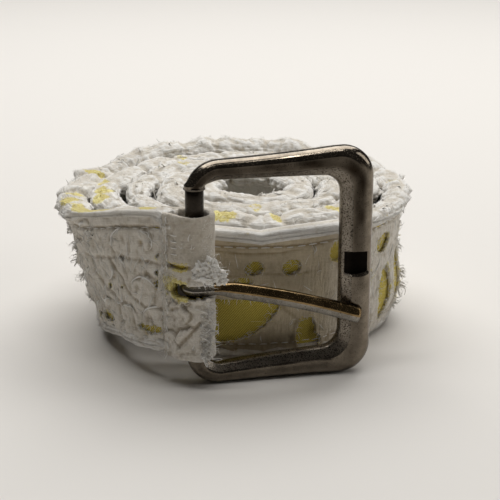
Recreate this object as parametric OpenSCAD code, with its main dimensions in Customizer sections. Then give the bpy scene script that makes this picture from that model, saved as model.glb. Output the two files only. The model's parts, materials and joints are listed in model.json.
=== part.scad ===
// Waist belt rolled into a standing coil, with a single-prong frame buckle on its outer end.
// Millimetres. +Z is up and the belt stands on its lower edge; the buckle faces -Y.

/* [Strap] */

// Width of the strap, which is its height as it stands
strap_width = 38; // [30:0.5:42]
// Thickness of the inner lining
lining_thickness = 1.2; // [0.8:0.1:1.4]
// Thickness of the coloured canvas between lining and face
canvas_thickness = 1.2; // [0.8:0.1:1.4]
// Thickness of the outer face cloth
face_thickness = 1.6; // [1:0.1:1.8]
// Height of the rolled cloth along each edge
roll_height = 3.6; // [2.5:0.1:5]
// Thickness of the rolled cloth along each edge
roll_thickness = 6.4; // [4.4:0.1:6.6]
// Distance of each stitching line from the edge roll
stitch_inset = 1.6; // [1:0.1:4]

/* [Coil] */

// Distance from the coil's axis to the middle of the strap on its left side
coil_radius = 44.4; // [42:0.2:47]
// Distance between one turn and the next
coil_pitch = 8.5; // [8.2:0.1:8.8]
// Angle the strap turns through, from the buckle bar to its inner end
coil_angle = 1560; // [1200:12:1560]
// Depth of the coil as a share of its width
coil_depth_share = 0.975; // [0.95:0.005:1]
// How much further out the top edge lies than the bottom edge
coil_lean = 6; // [0:0.5:6]
// Distance the coil's middle wanders towards the back from outside to inside
centre_wander = 3; // [0:0.5:3]

/* [Strap end] */

// Height of the strap end above the ground at the buckle
end_lift = 7.4; // [7:0.1:7.8]
// Angle over which the strap end comes down to the ground
lift_run = 56; // [40:1:60]
// Angle at which the strap end peels off the coil
split_angle = 66; // [60:6:72]
// Distance the strap end stands away from the next turn at the bar
end_stand_off = 5.1; // [4:0.1:6]

/* [Size holes] */

// Number of punched holes near the inner end
hole_count = 5; // [0:1:6]
// Radius of each punched hole
hole_radius = 2.4; // [2.2:0.1:2.6]
// Distance between neighbouring holes along the strap
hole_spacing = 25; // [20:1:28]

/* [Buckle] */

// Outer height of the frame
frame_height = 60; // [58:0.5:62]
// Distance from the bar's axis to the frame's outer right side
frame_reach = 45; // [42:0.5:50]
// Drop of the frame's upper rail at its bar end
shoulder_drop = 2.4; // [0:0.1:2.4]
// Width of the frame's cast section at its bar ends
frame_end_width = 5.1; // [4.8:0.1:5.3]
// Width of the frame's section where it meets the front bar's corners
frame_rail_width = 7; // [5.6:0.1:7]
// Width of the front bar that the prong rests on
front_bar_width = 8.3; // [7.5:0.1:8.6]
// Outer corner radius at the front bar
front_corner_radius = 9.5; // [9.2:0.1:11]
// Radius of the heel bar
bar_radius = 2.3; // [2:0.05:2.35]
// Yaw of the frame from the X axis
frame_yaw = 11.8; // [8:0.1:12]

/* [Prong] */

// Width of the prong's shank
prong_width = 4.2; // [3.4:0.1:4.3]
// Thickness of the prong's shank
prong_thickness = 2; // [1.5:0.1:2]
// Slope of the prong down from level
prong_droop = 15.2; // [10:0.1:16]
// Distance from the bar's axis to the prong's tip
prong_reach = 41.5; // [40:0.1:43]

/* [Hidden] */

strap_thickness = lining_thickness + canvas_thickness + face_thickness;
lining_in = -strap_thickness / 2;
lining_out = lining_in + lining_thickness;
canvas_out = lining_out + canvas_thickness;
face_out = canvas_out + face_thickness;
web_low = roll_height;
web_high = strap_width - roll_height;

// Straight part of the edge roll's side, below its rounded crown
roll_shoulder = 0.4;
// Share of the edge roll's half width where it meets the web
roll_foot_share = 0.8;
roll_arc_steps = 5;
roll_arc_peak = sin(72);

// Coil centre, placed so that the whole belt is centred on the origin
centre_x = 2.59;
centre_y = 3.61;
bar_angle = 256.6;
start_angle_back = 78;
bar_spiral_radius = coil_radius + coil_pitch * start_angle_back / 360 + end_stand_off;
stand_off_run = 100;
lean_run = 60;
end_clear = 7.6;
ring_step = 12;
end_ring_count = 10;

first_hole_angle = 1110;
middle_hole_angle = 950;
hole_drill_length = 8;

thread_width = 0.9;
thread_proud = 0.5;
thread_gap = 0.02;

// Chape: the cloth folded round the bar
chape_bar_clearance = 0.85;
chape_wall = 2;
chape_in_radius = bar_radius + chape_bar_clearance;
chape_out_radius = chape_in_radius + chape_wall;
chape_root_half = 2.6;
slot_low = 24;
slot_high = 28.1;
slot_left = 5;
slot_clear = 12;
tack_width = 0.8;
tack_inset = 0.4;
tack_length = 3.2;
tack_pitch = 5;
tack_count = 7;
tack_margin = 2.4;

// Frame
frame_back = 2.2;
frame_front = 2.6;
seam_height = frame_height - 8.9;
end_arc_radius = frame_height - seam_height - 2 - frame_end_width / 2;
arc_steps = 8;
rail_steps = 4;
section_steps = 12;
section_lip = 0.05;
dome_fullness = 0.7;
back_edge_share = 0.04;
back_flat_share = 0.2;
back_edge_drop = 0.66;
bar_press_depth = 1.3;
shoulder_blend = 4.6;
notch_radius = 2.9;
notch_height = 30;
notch_depth = 2;
notch_length = 6.6;

// Prong
curl_gap = 0.3;
curl_wall = 1.5;
curl_height = 3;
prong_height = 26;
prong_stand = 0.3;
shoulder_length = 6.4;
shank_overlap = 1.2;
shank_crown = 0.14;

function clamp01(v) = max(0, min(1, v));
function ease(v) = v * v * (3 - 2 * v);

// Plan of the strap: u is the angle back along the strap from the bar
function plan_dir(u) = bar_angle - u;
function stand_off(u) = end_stand_off * ease(clamp01(1 - u / stand_off_run));
function plan_r(u) = coil_radius + coil_pitch * (start_angle_back - u) / 360 + stand_off(u);
function plan_normal(u) = [cos(plan_dir(u)), sin(plan_dir(u))];
function plan_centre(u) = [centre_x, centre_y + centre_wander * u / coil_angle];
function plan_point(u) = plan_centre(u)
    + [plan_r(u) * cos(plan_dir(u)), coil_depth_share * plan_r(u) * sin(plan_dir(u))];
function lean_at(u) = coil_lean * clamp01((u - end_u) / lean_run) * min(1, plan_r(u) / coil_radius);
function lift_at(u) = end_lift * ease(clamp01((lift_run - u) / (lift_run - end_u)));

// A point of the strap: o outward from its middle, z up from its lower edge
function strap_point(u, o, z) =
    let (
        c = plan_point(u),
        out = o + lean_at(u) * (z / strap_width - 0.5),
        n = plan_normal(u)
    )
    [c[0] + n[0] * out, c[1] + n[1] * out, z + lift_at(u)];

end_u = 360 * end_clear / (2 * PI * bar_spiral_radius);
bar_at = plan_point(0);

coil_rings = [for (u = [split_angle : ring_step : coil_angle]) u];
end_rings = [for (i = [0 : end_ring_count]) end_u + (split_angle - end_u) * i / end_ring_count];

// Sections are lists of [o, z, split], running anticlockwise seen along the strap
function box_section(o1, o2, z1, z2) = [[o1, z1, 0], [o2, z1, 0], [o2, z2, 1], [o1, z2, 1]];

function roll_section(up) =
    let (
        base = up ? web_high : web_low,
        h = roll_thickness / 2,
        crown = up ? 1 : -1,
        top = roll_height - roll_shoulder,
        arc = [for (i = [0 : roll_arc_steps]) let (a = 180 * i / roll_arc_steps)
            [h * cos(a), base + crown * (roll_shoulder + top * sin(a) / roll_arc_peak), 0]],
        foot = h * roll_foot_share,
        pts = concat([[foot, base, 0]], arc, [[-foot, base, 0]])
    )
    up ? pts : [for (i = [len(pts) - 1 : -1 : 0]) pts[i]];

// Sweep a section along the strap through the given rings
module sweep_strap(rings, section) {
    m = len(section);
    n = len(rings);
    points = [for (u = rings) for (q = section) strap_point(u, q[0], q[1])];
    sides = [for (i = [0 : n - 2]) for (j = [0 : m - 1])
        let (
            a = i * m + j,
            b = i * m + (j + 1) % m,
            c = a + m,
            d = b + m
        )
        for (t = [0, 1])
            section[j][2] == 1
                ? (t == 0 ? [a, b, d] : [a, d, c])
                : (t == 0 ? [a, b, c] : [b, d, c])];
    first = [for (j = [m - 1 : -1 : 0]) j];
    last = [for (j = [0 : m - 1]) (n - 1) * m + j];
    polyhedron(points = points, faces = concat(sides, [first, last]));
}

// Punches through one turn, square to the strap
module size_holes() {
    for (i = [0 : 1 : hole_count - 1]) {
        u = first_hole_angle - i * hole_spacing * 360 / (2 * PI * plan_r(middle_hole_angle));
        c = plan_point(u);
        translate([c[0], c[1], strap_width / 2])
            rotate([0, 90, plan_dir(u)])
                cylinder(h = hole_drill_length, r = hole_radius, center = true, $fn = 24);
    }
}

module web(rings, o1, o2) {
    sweep_strap(rings, box_section(o1, o2, web_low, web_high));
}

module stitch_line(rings, z) {
    sweep_strap(rings, box_section(face_out + thread_gap, face_out + thread_proud,
        z - thread_width / 2, z + thread_width / 2));
}

module lining_coil() {
    color("whitesmoke") difference() {
        web(coil_rings, lining_in, lining_out);
        size_holes();
    }
}

module canvas_coil() {
    color("khaki") difference() {
        web(coil_rings, lining_out, canvas_out);
        size_holes();
    }
}

module face_coil() {
    color("white") difference() {
        web(coil_rings, canvas_out, face_out);
        size_holes();
    }
}

module top_roll_coil() {
    color("ivory") sweep_strap(coil_rings, roll_section(true));
}

module bottom_roll_coil() {
    color("ivory") sweep_strap(coil_rings, roll_section(false));
}

module top_stitching_coil() {
    color("lightgray") stitch_line(coil_rings, web_high - stitch_inset);
}

module bottom_stitching_coil() {
    color("lightgray") stitch_line(coil_rings, web_low + stitch_inset);
}

module lining_end() {
    color("whitesmoke") web(end_rings, lining_in, lining_out);
}

module canvas_end() {
    color("khaki") web(end_rings, lining_out, canvas_out);
}

module face_end() {
    color("white") web(end_rings, canvas_out, face_out);
}

module top_roll_end() {
    color("ivory") sweep_strap(end_rings, roll_section(true));
}

module bottom_roll_end() {
    color("ivory") sweep_strap(end_rings, roll_section(false));
}

module top_stitching_end() {
    color("lightgray") stitch_line(end_rings, web_high - stitch_inset);
}

module bottom_stitching_end() {
    color("lightgray") stitch_line(end_rings, web_low + stitch_inset);
}

// Local frame of the chape: bar axis at the origin, strap arriving from -X, outside at -Y
module at_chape() {
    translate([bar_at[0], bar_at[1], 0])
        rotate([0, 0, plan_dir(end_u) + 90])
            children();
}

chape_root_x = -(cos(plan_dir(end_u) + 90) * (bar_at[0] - plan_point(end_u)[0])
    + sin(plan_dir(end_u) + 90) * (bar_at[1] - plan_point(end_u)[1]));
chape_root_y = -(-sin(plan_dir(end_u) + 90) * (bar_at[0] - plan_point(end_u)[0])
    + cos(plan_dir(end_u) + 90) * (bar_at[1] - plan_point(end_u)[1]));

module chape() {
    color("white") difference() {
        at_chape() translate([0, 0, end_lift]) linear_extrude(height = strap_width) difference() {
            union() {
                circle(r = chape_out_radius, $fn = 64);
                polygon([
                    [chape_root_x, chape_root_y - chape_root_half],
                    [0, -chape_out_radius],
                    [0, chape_out_radius],
                    [chape_root_x, chape_root_y + chape_root_half]
                ]);
            }
            circle(r = chape_in_radius, $fn = 64);
        }
        at_chape() translate([-slot_left, -slot_clear, slot_low])
            cube([slot_left + slot_clear, 2 * slot_clear, slot_high - slot_low]);
    }
}

// Bar tacks that close the fold of the chape, in a column down its front
module chape_tacks() {
    root_side = chape_root_y - chape_root_half;
    color("lightgray") at_chape()
        translate([chape_root_x, root_side, end_lift + tack_margin])
            rotate([0, 0, atan2(-chape_out_radius - root_side, -chape_root_x)])
                for (i = [0 : tack_count - 1])
                    translate([tack_inset, -tack_width, i * tack_pitch])
                        cube([tack_width, tack_width, tack_length]);
}

// Local frame of the buckle: bar axis at the origin, +X towards the front bar, -Y to the outside
module at_frame() {
    translate([bar_at[0], bar_at[1], 0])
        rotate([0, 0, frame_yaw])
            children();
}

// Upper half of the frame: [x of outer edge, z of outer edge, inward direction, width]
function end_rings_up() = concat(
    [[-frame_end_width / 2, seam_height, 0, frame_end_width]],
    [for (i = [0 : arc_steps]) let (a = 180 - 90 * i / arc_steps, r = end_arc_radius + frame_end_width / 2)
        [end_arc_radius + r * cos(a), frame_height - r + r * sin(a), a - 180, frame_end_width]]
);
function rail_rings_up() = [for (i = [1 : rail_steps - 1]) let (t = i / rail_steps,
    x1 = end_arc_radius, x2 = frame_reach - front_corner_radius)
    [x1 + (x2 - x1) * t, frame_height, -90, frame_end_width + (frame_rail_width - frame_end_width) * t]];
function corner_rings_up() = [for (i = [0 : arc_steps]) let (t = i / arc_steps, a = 90 - 90 * t)
    [frame_reach - front_corner_radius + front_corner_radius * cos(a),
        frame_height - front_corner_radius + front_corner_radius * sin(a),
        a - 180, frame_rail_width + (front_bar_width - frame_rail_width) * t]];
upper_rings = concat(end_rings_up(), rail_rings_up(), corner_rings_up());
lower_rings = [for (i = [len(upper_rings) - 1 : -1 : 0]) let (q = upper_rings[i])
    [q[0], frame_height - q[1], -q[2], q[3]]];
frame_rings = concat(upper_rings, lower_rings);

// Domed section: k steps from the outer edge over the front to the inner edge, then the flat back
frame_section = concat(
    [for (k = [0 : section_steps]) let (a = 180 * k / section_steps)
        [0.5 - 0.5 * cos(a), -section_lip - (frame_front - section_lip) * pow(sin(a), dome_fullness)]],
    [
        [1 - back_edge_share, frame_back - back_edge_drop],
        [1 - back_flat_share, frame_back],
        [back_flat_share, frame_back],
        [back_edge_share, frame_back - back_edge_drop]
    ]
);

// How far a point of the upper rail is lowered: full drop above the bar, none at the front corner
function shoulder_fall(x, z) = let (
    t = max(0, min(1, (z - seam_height) / shoulder_blend)),
    share = max(0, 1 - x / (frame_reach - front_corner_radius))
) shoulder_drop * share * t * t * (3 - 2 * t);

module frame_body() {
    m = len(frame_section);
    n = len(frame_rings);
    points = [for (q = frame_rings) for (s = frame_section)
        let (x = q[0] + cos(q[2]) * q[3] * s[0], z = q[1] + sin(q[2]) * q[3] * s[0])
            [x, s[1], z - shoulder_fall(x, z)]];
    sides = [for (i = [0 : n - 2]) for (j = [0 : m - 1])
        let (
            a = i * m + j,
            b = i * m + (j + 1) % m,
            c = a + m,
            d = b + m
        )
        for (t = [0, 1]) t == 0 ? [a, b, d] : [a, d, c]];
    first = [for (j = [m - 1 : -1 : 0]) j];
    last = [for (j = [0 : m - 1]) (n - 1) * m + j];
    polyhedron(points = points, faces = concat(sides, [first, last]));
}

module buckle_frame() {
    color("dimgray") at_frame() difference() {
        frame_body();
        translate([
            frame_reach - front_bar_width - 1,
            -frame_front - notch_radius + notch_depth,
            notch_height
        ])
            rotate([0, 90, 0])
                cylinder(h = notch_length + 1, r = notch_radius, $fn = 32);
    }
}

module buckle_bar() {
    bar_low = frame_height - seam_height - bar_press_depth;
    color("dimgray") at_frame()
        translate([0, 0, bar_low])
            cylinder(h = frame_height - 2 * bar_low, r = bar_radius, $fn = 48);
}

// D-shaped shank section, flat at the back and round at the front
module shank_section(w, t) {
    intersection() {
        translate([-w / 2, -t])
            square([w, t]);
        translate([0, w * shank_crown])
            circle(r = t + w * shank_crown, $fn = 48);
    }
}

module prong() {
    back = frame_front + prong_stand;
    curl_out = bar_radius + curl_gap + curl_wall;
    shank_start = shoulder_length - shank_overlap;
    color("dimgray") at_frame() translate([0, 0, prong_height]) {
        difference() {
            union() {
                translate([0, 0, -curl_height / 2])
                    cylinder(h = curl_height, r = curl_out, $fn = 48);
                translate([0, -back - prong_thickness, -curl_height / 2])
                    cube([shoulder_length, prong_thickness, curl_height]);
                translate([shank_start, -back, 0])
                    rotate([0, 90 + prong_droop, 0])
                        linear_extrude(height = (prong_reach - shank_start) / cos(prong_droop))
                            shank_section(prong_width, prong_thickness);
            }
            cylinder(h = 3 * curl_height, r = bar_radius + curl_gap, center = true, $fn = 48);
        }
    }
}

lining_coil();
canvas_coil();
face_coil();
top_roll_coil();
bottom_roll_coil();
top_stitching_coil();
bottom_stitching_coil();
lining_end();
canvas_end();
face_end();
top_roll_end();
bottom_roll_end();
top_stitching_end();
bottom_stitching_end();
chape();
chape_tacks();
buckle_frame();
buckle_bar();
prong();
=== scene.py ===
"""Waist belt rolled into a standing coil: cloth, edge rolls, frays and an antique nickel prong buckle."""
import json
import math

import bpy
import numpy as np
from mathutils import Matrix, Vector


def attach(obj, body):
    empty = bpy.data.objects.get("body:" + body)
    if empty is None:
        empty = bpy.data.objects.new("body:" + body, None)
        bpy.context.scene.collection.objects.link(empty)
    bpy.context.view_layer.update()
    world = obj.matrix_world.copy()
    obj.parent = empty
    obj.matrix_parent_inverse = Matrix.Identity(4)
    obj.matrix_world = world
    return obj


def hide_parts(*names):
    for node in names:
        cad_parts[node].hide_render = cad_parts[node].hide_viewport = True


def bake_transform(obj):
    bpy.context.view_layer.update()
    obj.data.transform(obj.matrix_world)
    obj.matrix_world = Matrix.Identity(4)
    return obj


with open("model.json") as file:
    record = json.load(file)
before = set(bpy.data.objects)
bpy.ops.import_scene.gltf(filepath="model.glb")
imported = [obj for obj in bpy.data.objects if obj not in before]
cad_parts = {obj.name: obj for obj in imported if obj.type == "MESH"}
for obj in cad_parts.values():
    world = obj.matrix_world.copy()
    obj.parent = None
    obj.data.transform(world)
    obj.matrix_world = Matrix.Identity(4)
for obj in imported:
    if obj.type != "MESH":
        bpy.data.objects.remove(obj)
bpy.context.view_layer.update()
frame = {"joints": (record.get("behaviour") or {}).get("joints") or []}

MM = 0.001

# Driving sizes, as in the CAD model: millimetres, and degrees for angles and for runs round the coil
WIDTH = 38.0
COIL_RADIUS = 44.4
COIL_PITCH = 8.5
COIL_ANGLE = 1560.0
DEPTH_SHARE = 0.975
LEAN = 6.0
TUCK = 3.8
BULGE = 3.6
WANDER = 3.0
END_LIFT = 7.4
LIFT_RUN = 56.0
LEAN_RUN = 60.0
STAND_OFF = 5.1
STAND_OFF_RUN = 100.0
CENTRE = (2.59, 3.61)
BAR_ANGLE = 256.6
LEFT_ANGLE = 78.0
END_CLEAR = 7.6
FRAME_HEIGHT = 60.0
FRAME_REACH = 45.0
FRAME_YAW = math.radians(11.8)
SEAM_HEIGHT = 51.1
FACE_OUT = 1.75  # face cloth's outer surface, from the middle of the strap

JOINTS = {j["name"]: j for j in frame["joints"]}
BAR = np.array(JOINTS["frame_swing"]["pos_m"][:2]) / MM


# ---------------------------------------------------------------- camera

CAMERA = {"place": (0.0042, -0.3589, 0.1404), "target": (0.0042, 0.00514, 0.0186), "lens": 97.06}
camera_data = bpy.data.cameras.new("camera")
camera_data.lens = CAMERA["lens"]
camera_data.sensor_width = 36
camera_data.clip_start = 0.01
camera = bpy.data.objects.new("camera", camera_data)
camera.location = CAMERA["place"]
camera.rotation_mode = "QUATERNION"
camera.rotation_quaternion = (Vector(CAMERA["target"]) - Vector(CAMERA["place"])).to_track_quat("-Z", "Y")
bpy.context.scene.collection.objects.link(camera)
bpy.context.scene.camera = camera


# ---------------------------------------------------------------- strap plan

def ease(v):
    v = np.clip(v, 0, 1)
    return v * v * (3 - 2 * v)


def lerp(a, b, t):
    return a + (b - a) * t


def coil_r(u):
    return (
        COIL_RADIUS
        + COIL_PITCH * (LEFT_ANGLE - u) / 360
        + STAND_OFF * ease(1 - u / STAND_OFF_RUN)
    )


END_U = 360 * END_CLEAR / (2 * math.pi * (COIL_RADIUS + COIL_PITCH * LEFT_ANGLE / 360 + STAND_OFF))


def strap_point(u, o, z):
    """A point of the strap in mm: u degrees back from the bar, o outward, z up from the lower edge."""
    u, o, z = np.broadcast_arrays(np.asarray(u, float), o, z)
    a = np.radians(BAR_ANGLE - u)
    r = coil_r(u)
    lean = LEAN * np.clip((u - END_U) / LEAN_RUN, 0, 1) * np.minimum(1, r / COIL_RADIUS)
    lift = END_LIFT * ease((LIFT_RUN - u) / (LIFT_RUN - END_U))
    slump = ease((u - 12) / 26) * ease((112 - u) / 30)
    tuck = TUCK * slump * (1 - z / WIDTH)
    bulge = BULGE * np.exp(-(((u - 262) / 26) ** 2)) * np.exp(-(((z - 10) / 10) ** 2))
    out = o + lean * (z / WIDTH - 0.5) - tuck + bulge
    lift = lift + 1.9 * slump * (1 - z / WIDTH) ** 2
    x = CENTRE[0] + (r + out) * np.cos(a)
    y = CENTRE[1] + WANDER * u / COIL_ANGLE + (DEPTH_SHARE * r + out) * np.sin(a)
    return np.stack([x, y, z + lift], -1)


_u = np.linspace(0, COIL_ANGLE, 4000)
_p = strap_point(_u, 0, WIDTH / 2)[:, :2]
_s = np.concatenate([[0], np.cumsum(np.linalg.norm(np.diff(_p, axis=0), axis=1))])


def u_at(s):
    return np.interp(s, _s, _u)


def s_at(u):
    return float(np.interp(u, _u, _s))


STRAP_LENGTH = float(_s[-1])
OUTER_END = s_at(112)
FINE_END = s_at(415)


def steps(start, stop, size):
    return np.linspace(start, stop, max(2, int(round((stop - start) / size)) + 1))


# ---------------------------------------------------------------- noise

def lattice(i, j, k, seed):
    h = (i.astype(np.uint64) * np.uint64(374761393)) ^ (j.astype(np.uint64) * np.uint64(668265263))
    h = h ^ (k.astype(np.uint64) * np.uint64(2147483647)) ^ np.uint64(seed * 2654435761 + 97)
    h = (h ^ (h >> np.uint64(13))) * np.uint64(1274126177)
    h = h ^ (h >> np.uint64(16))
    return (h & np.uint64(0xFFFF)).astype(float) / 32767.5 - 1


def noise(x, y, z=0.0, seed=0):
    """Smooth value noise from -1 to 1."""
    x, y, z = np.broadcast_arrays(np.asarray(x, float), y, z)
    i, j, k = np.floor(x), np.floor(y), np.floor(z)
    a, b, c = ease(x - i), ease(y - j), ease(z - k)
    i, j, k = (v.astype(np.int64) + 100000 for v in (i, j, k))
    total = 0
    for di in (0, 1):
        for dj in (0, 1):
            for dk in (0, 1):
                w = (a if di else 1 - a) * (b if dj else 1 - b) * (c if dk else 1 - c)
                total = total + w * lattice(i + di, j + dj, k + dk, seed)
    return total


def fbm(x, y, z=0.0, octaves=4, seed=0):
    total, amp, scale = 0, 1.0, 1.0
    for n in range(octaves):
        total = total + amp * noise(x * scale, y * scale, np.asarray(z) * scale, seed + 7 * n)
        amp *= 0.5
        scale *= 2.03
    return total / 1.9


def blurred(values, passes, wrap=False):
    """Neighbour averages of a grid; wrap closes the second axis into a ring."""
    a = values.copy()
    for _ in range(passes):
        p = np.pad(a, ((1, 1), (0, 0)), mode="edge")
        a = (p[:-2] + 2 * a + p[2:]) / 4
        p = np.pad(a, ((0, 0), (1, 1)), mode="wrap" if wrap else "edge")
        a = (p[:, :-2] + 2 * a + p[:, 2:]) / 4
    return a


def hollows(values, passes, depth, wrap=False):
    """0 to 1 where a surface lies below its surroundings, and up to 1 at the given depth."""
    return np.clip((blurred(values, passes, wrap) - values) / depth, 0, 1)


def crumple(x, y, z=0.0, seed=0, octaves=3):
    """Creased cloth from 0 to 1: rounded ridges with thin valleys between them."""
    wx = x + 0.55 * noise(x * 0.7, y * 0.7, z, seed + 50)
    wy = y + 0.55 * noise(x * 0.7, y * 0.7, z, seed + 51)
    total, amp, scale = 0, 1.0, 1.0
    for n in range(octaves):
        waves = noise(wx * scale, wy * scale, np.asarray(z) * scale, seed + 9 * n)
        total = total + amp * np.abs(waves) ** 0.7
        amp *= 0.5
        scale *= 1.9
    return total / 1.6


# ---------------------------------------------------------------- mesh helpers

def make_object(name, verts, faces, material, smooth=True, data=None, painted_shade=None):
    """A mesh object from points in mm; data ('cloth') and the painted shade are per-point values that
    materials read.
    """
    verts = np.asarray(verts, float).reshape(-1, 3) * MM
    used = np.zeros(len(verts), bool)
    quads = [np.asarray(f, np.int64) for f in faces if len(f)]
    for f in quads:
        used[f.ravel()] = True
    remap = np.cumsum(used) - 1
    verts = verts[used]
    mesh = bpy.data.meshes.new(name)
    sizes = np.concatenate([np.full(len(f), f.shape[1]) for f in quads])
    loops = np.concatenate([remap[f].ravel() for f in quads]).astype(np.int32)
    mesh.vertices.add(len(verts))
    mesh.vertices.foreach_set("co", verts.astype(np.float32).ravel())
    mesh.loops.add(len(loops))
    mesh.loops.foreach_set("vertex_index", loops)
    mesh.polygons.add(len(sizes))
    mesh.polygons.foreach_set("loop_start", np.concatenate([[0], np.cumsum(sizes)[:-1]]).astype(np.int32))
    mesh.update(calc_edges=True)
    mesh.validate()
    if data is not None:
        attribute = mesh.attributes.new("cloth", "FLOAT_VECTOR", "POINT")
        attribute.data.foreach_set("vector", np.asarray(data, np.float32).reshape(-1, 3)[used].ravel())
    # per-point painted shade: cloth darker in hollows and shaded places, a painted dark reflection band on
    # the buckle frame
    if painted_shade is not None:
        attribute = mesh.attributes.new("painted_shade", "FLOAT", "POINT")
        attribute.data.foreach_set("value", np.asarray(painted_shade, np.float32).ravel()[used])
    mesh.shade_smooth() if smooth else mesh.shade_flat()
    obj = bpy.data.objects.new(name, mesh)
    bpy.context.scene.collection.objects.link(obj)
    mesh.materials.append(material)
    return obj


def grid_quads(n, m, closed=False):
    i = np.arange(n - 1)[:, None]
    j = np.arange(m if closed else m - 1)[None, :]
    k = (j + 1) % m
    return np.stack([i * m + j, i * m + k, (i + 1) * m + k, (i + 1) * m + j], -1).reshape(-1, 4)


def open_edges(quads):
    """Directed edges that only one face uses."""
    edges = np.concatenate([quads[:, [k, (k + 1) % 4]] for k in range(4)])
    top = edges.max() + 1
    key = edges[:, 0] * top + edges[:, 1]
    back = edges[:, 1] * top + edges[:, 0]
    return edges[~np.isin(key, back)]


def thick_sheet(name, front, back, keep, material, data, painted_shade=None):
    """Cloth with a front and a back surface on one grid, closed round its edges and its cut-outs."""
    n, m = front.shape[:2]
    quads = grid_quads(n, m)[keep.ravel()]
    edges = open_edges(quads)
    count = n * m
    rim = np.stack([edges[:, 1], edges[:, 0], edges[:, 0] + count, edges[:, 1] + count], -1)
    verts = np.concatenate([front.reshape(-1, 3), back.reshape(-1, 3)])
    obj = make_object(
        name, verts, [quads, quads[:, ::-1] + count, rim], material,
        data=np.concatenate([data.reshape(-1, 3)] * 2),
        painted_shade=None if painted_shade is None else np.tile(painted_shade.ravel(), 2),
    )
    return obj, edges


def tubes(name, points, radius, material, sides=3, data=None, flat=1.0):
    """Many thin strands in one mesh: points is (strands, rings, 3) in mm, radius (strands, rings)."""
    count, rings = points.shape[:2]
    along = points[:, -1] - points[:, 0]
    along /= np.linalg.norm(along, axis=1, keepdims=True) + 1e-9
    side = np.cross(along, np.array([0.31, 0.77, 0.55]))
    side /= np.linalg.norm(side, axis=1, keepdims=True) + 1e-9
    up = np.cross(along, side)
    a = 2 * np.pi * np.arange(sides) / sides
    ring = np.cos(a)[None, :, None] * side[:, None] + flat * np.sin(a)[None, :, None] * up[:, None]
    verts = points[:, :, None] + ring[:, None] * radius[:, :, None, None]
    quads = grid_quads(rings, sides, closed=True)[None] + (np.arange(count) * rings * sides)[:, None, None]
    caps = np.arange(sides)[None] + (np.arange(count) * rings * sides)[:, None]
    ends = caps + (rings - 1) * sides
    if data is None:
        data = np.zeros((count, 3))
    each = np.repeat(data, rings * sides, axis=0)
    return make_object(
        name, verts, [quads.reshape(-1, 4), caps[:, ::-1], ends], material, data=each
    )


# ---------------------------------------------------------------- materials

class Tree:
    """A material's node tree. Each method adds one node and gives its output."""

    def __init__(self, name):
        self.material = bpy.data.materials.new(name)
        self.material.use_nodes = True
        self.nodes = self.material.node_tree.nodes
        self.link = self.material.node_tree.links.new
        self.shader = self.nodes["Principled BSDF"].inputs

    def feed(self, socket, value):
        """A number or a colour is set on the socket, an output is linked to it."""
        if isinstance(value, tuple):
            socket.default_value = (*value, 1)
        elif isinstance(value, (int, float)):
            socket.default_value = value
        elif value is not None:
            self.link(value, socket)

    def math(self, kind, a, b=None, clamp=False):
        node = self.nodes.new("ShaderNodeMath")
        node.operation = kind
        node.use_clamp = clamp
        for socket, value in zip(node.inputs, (a, b)):
            self.feed(socket, value)
        return node.outputs[0]

    def mix(self, factor, a, b, blend="MIX"):
        node = self.nodes.new("ShaderNodeMix")
        node.data_type = "RGBA"
        node.blend_type = blend
        for socket, value in zip((node.inputs[0], node.inputs[6], node.inputs[7]), (factor, a, b)):
            self.feed(socket, value)
        return node.outputs[2]

    def noise(self, vector, scale, detail=3.0, roughness=0.55):
        node = self.nodes.new("ShaderNodeTexNoise")
        node.inputs["Scale"].default_value = scale
        node.inputs["Detail"].default_value = detail
        node.inputs["Roughness"].default_value = roughness
        self.link(vector, node.inputs["Vector"])
        return node.outputs["Fac"]

    def ramp(self, value, stops):
        node = self.nodes.new("ShaderNodeMapRange")
        node.inputs["From Min"].default_value, node.inputs["From Max"].default_value = stops[0]
        node.inputs["To Min"].default_value, node.inputs["To Max"].default_value = stops[1]
        self.link(value, node.inputs["Value"])
        return node.outputs["Result"]

    def stretched(self, vector, scale):
        node = self.nodes.new("ShaderNodeVectorMath")
        node.operation = "MULTIPLY"
        node.inputs[1].default_value = scale
        self.link(vector, node.inputs[0])
        return node.outputs[0]

    def attribute(self, name):
        node = self.nodes.new("ShaderNodeAttribute")
        node.attribute_name = name
        return node.outputs

    def object_place(self):
        return self.nodes.new("ShaderNodeTexCoord").outputs["Object"]

    def parts(self, vector):
        node = self.nodes.new("ShaderNodeSeparateXYZ")
        self.link(vector, node.inputs[0])
        return node.outputs

    def bump(self, height, strength, distance):
        node = self.nodes.new("ShaderNodeBump")
        node.inputs["Strength"].default_value = strength
        node.inputs["Distance"].default_value = distance
        self.link(height, node.inputs["Height"])
        self.link(node.outputs[0], self.shader["Normal"])


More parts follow.
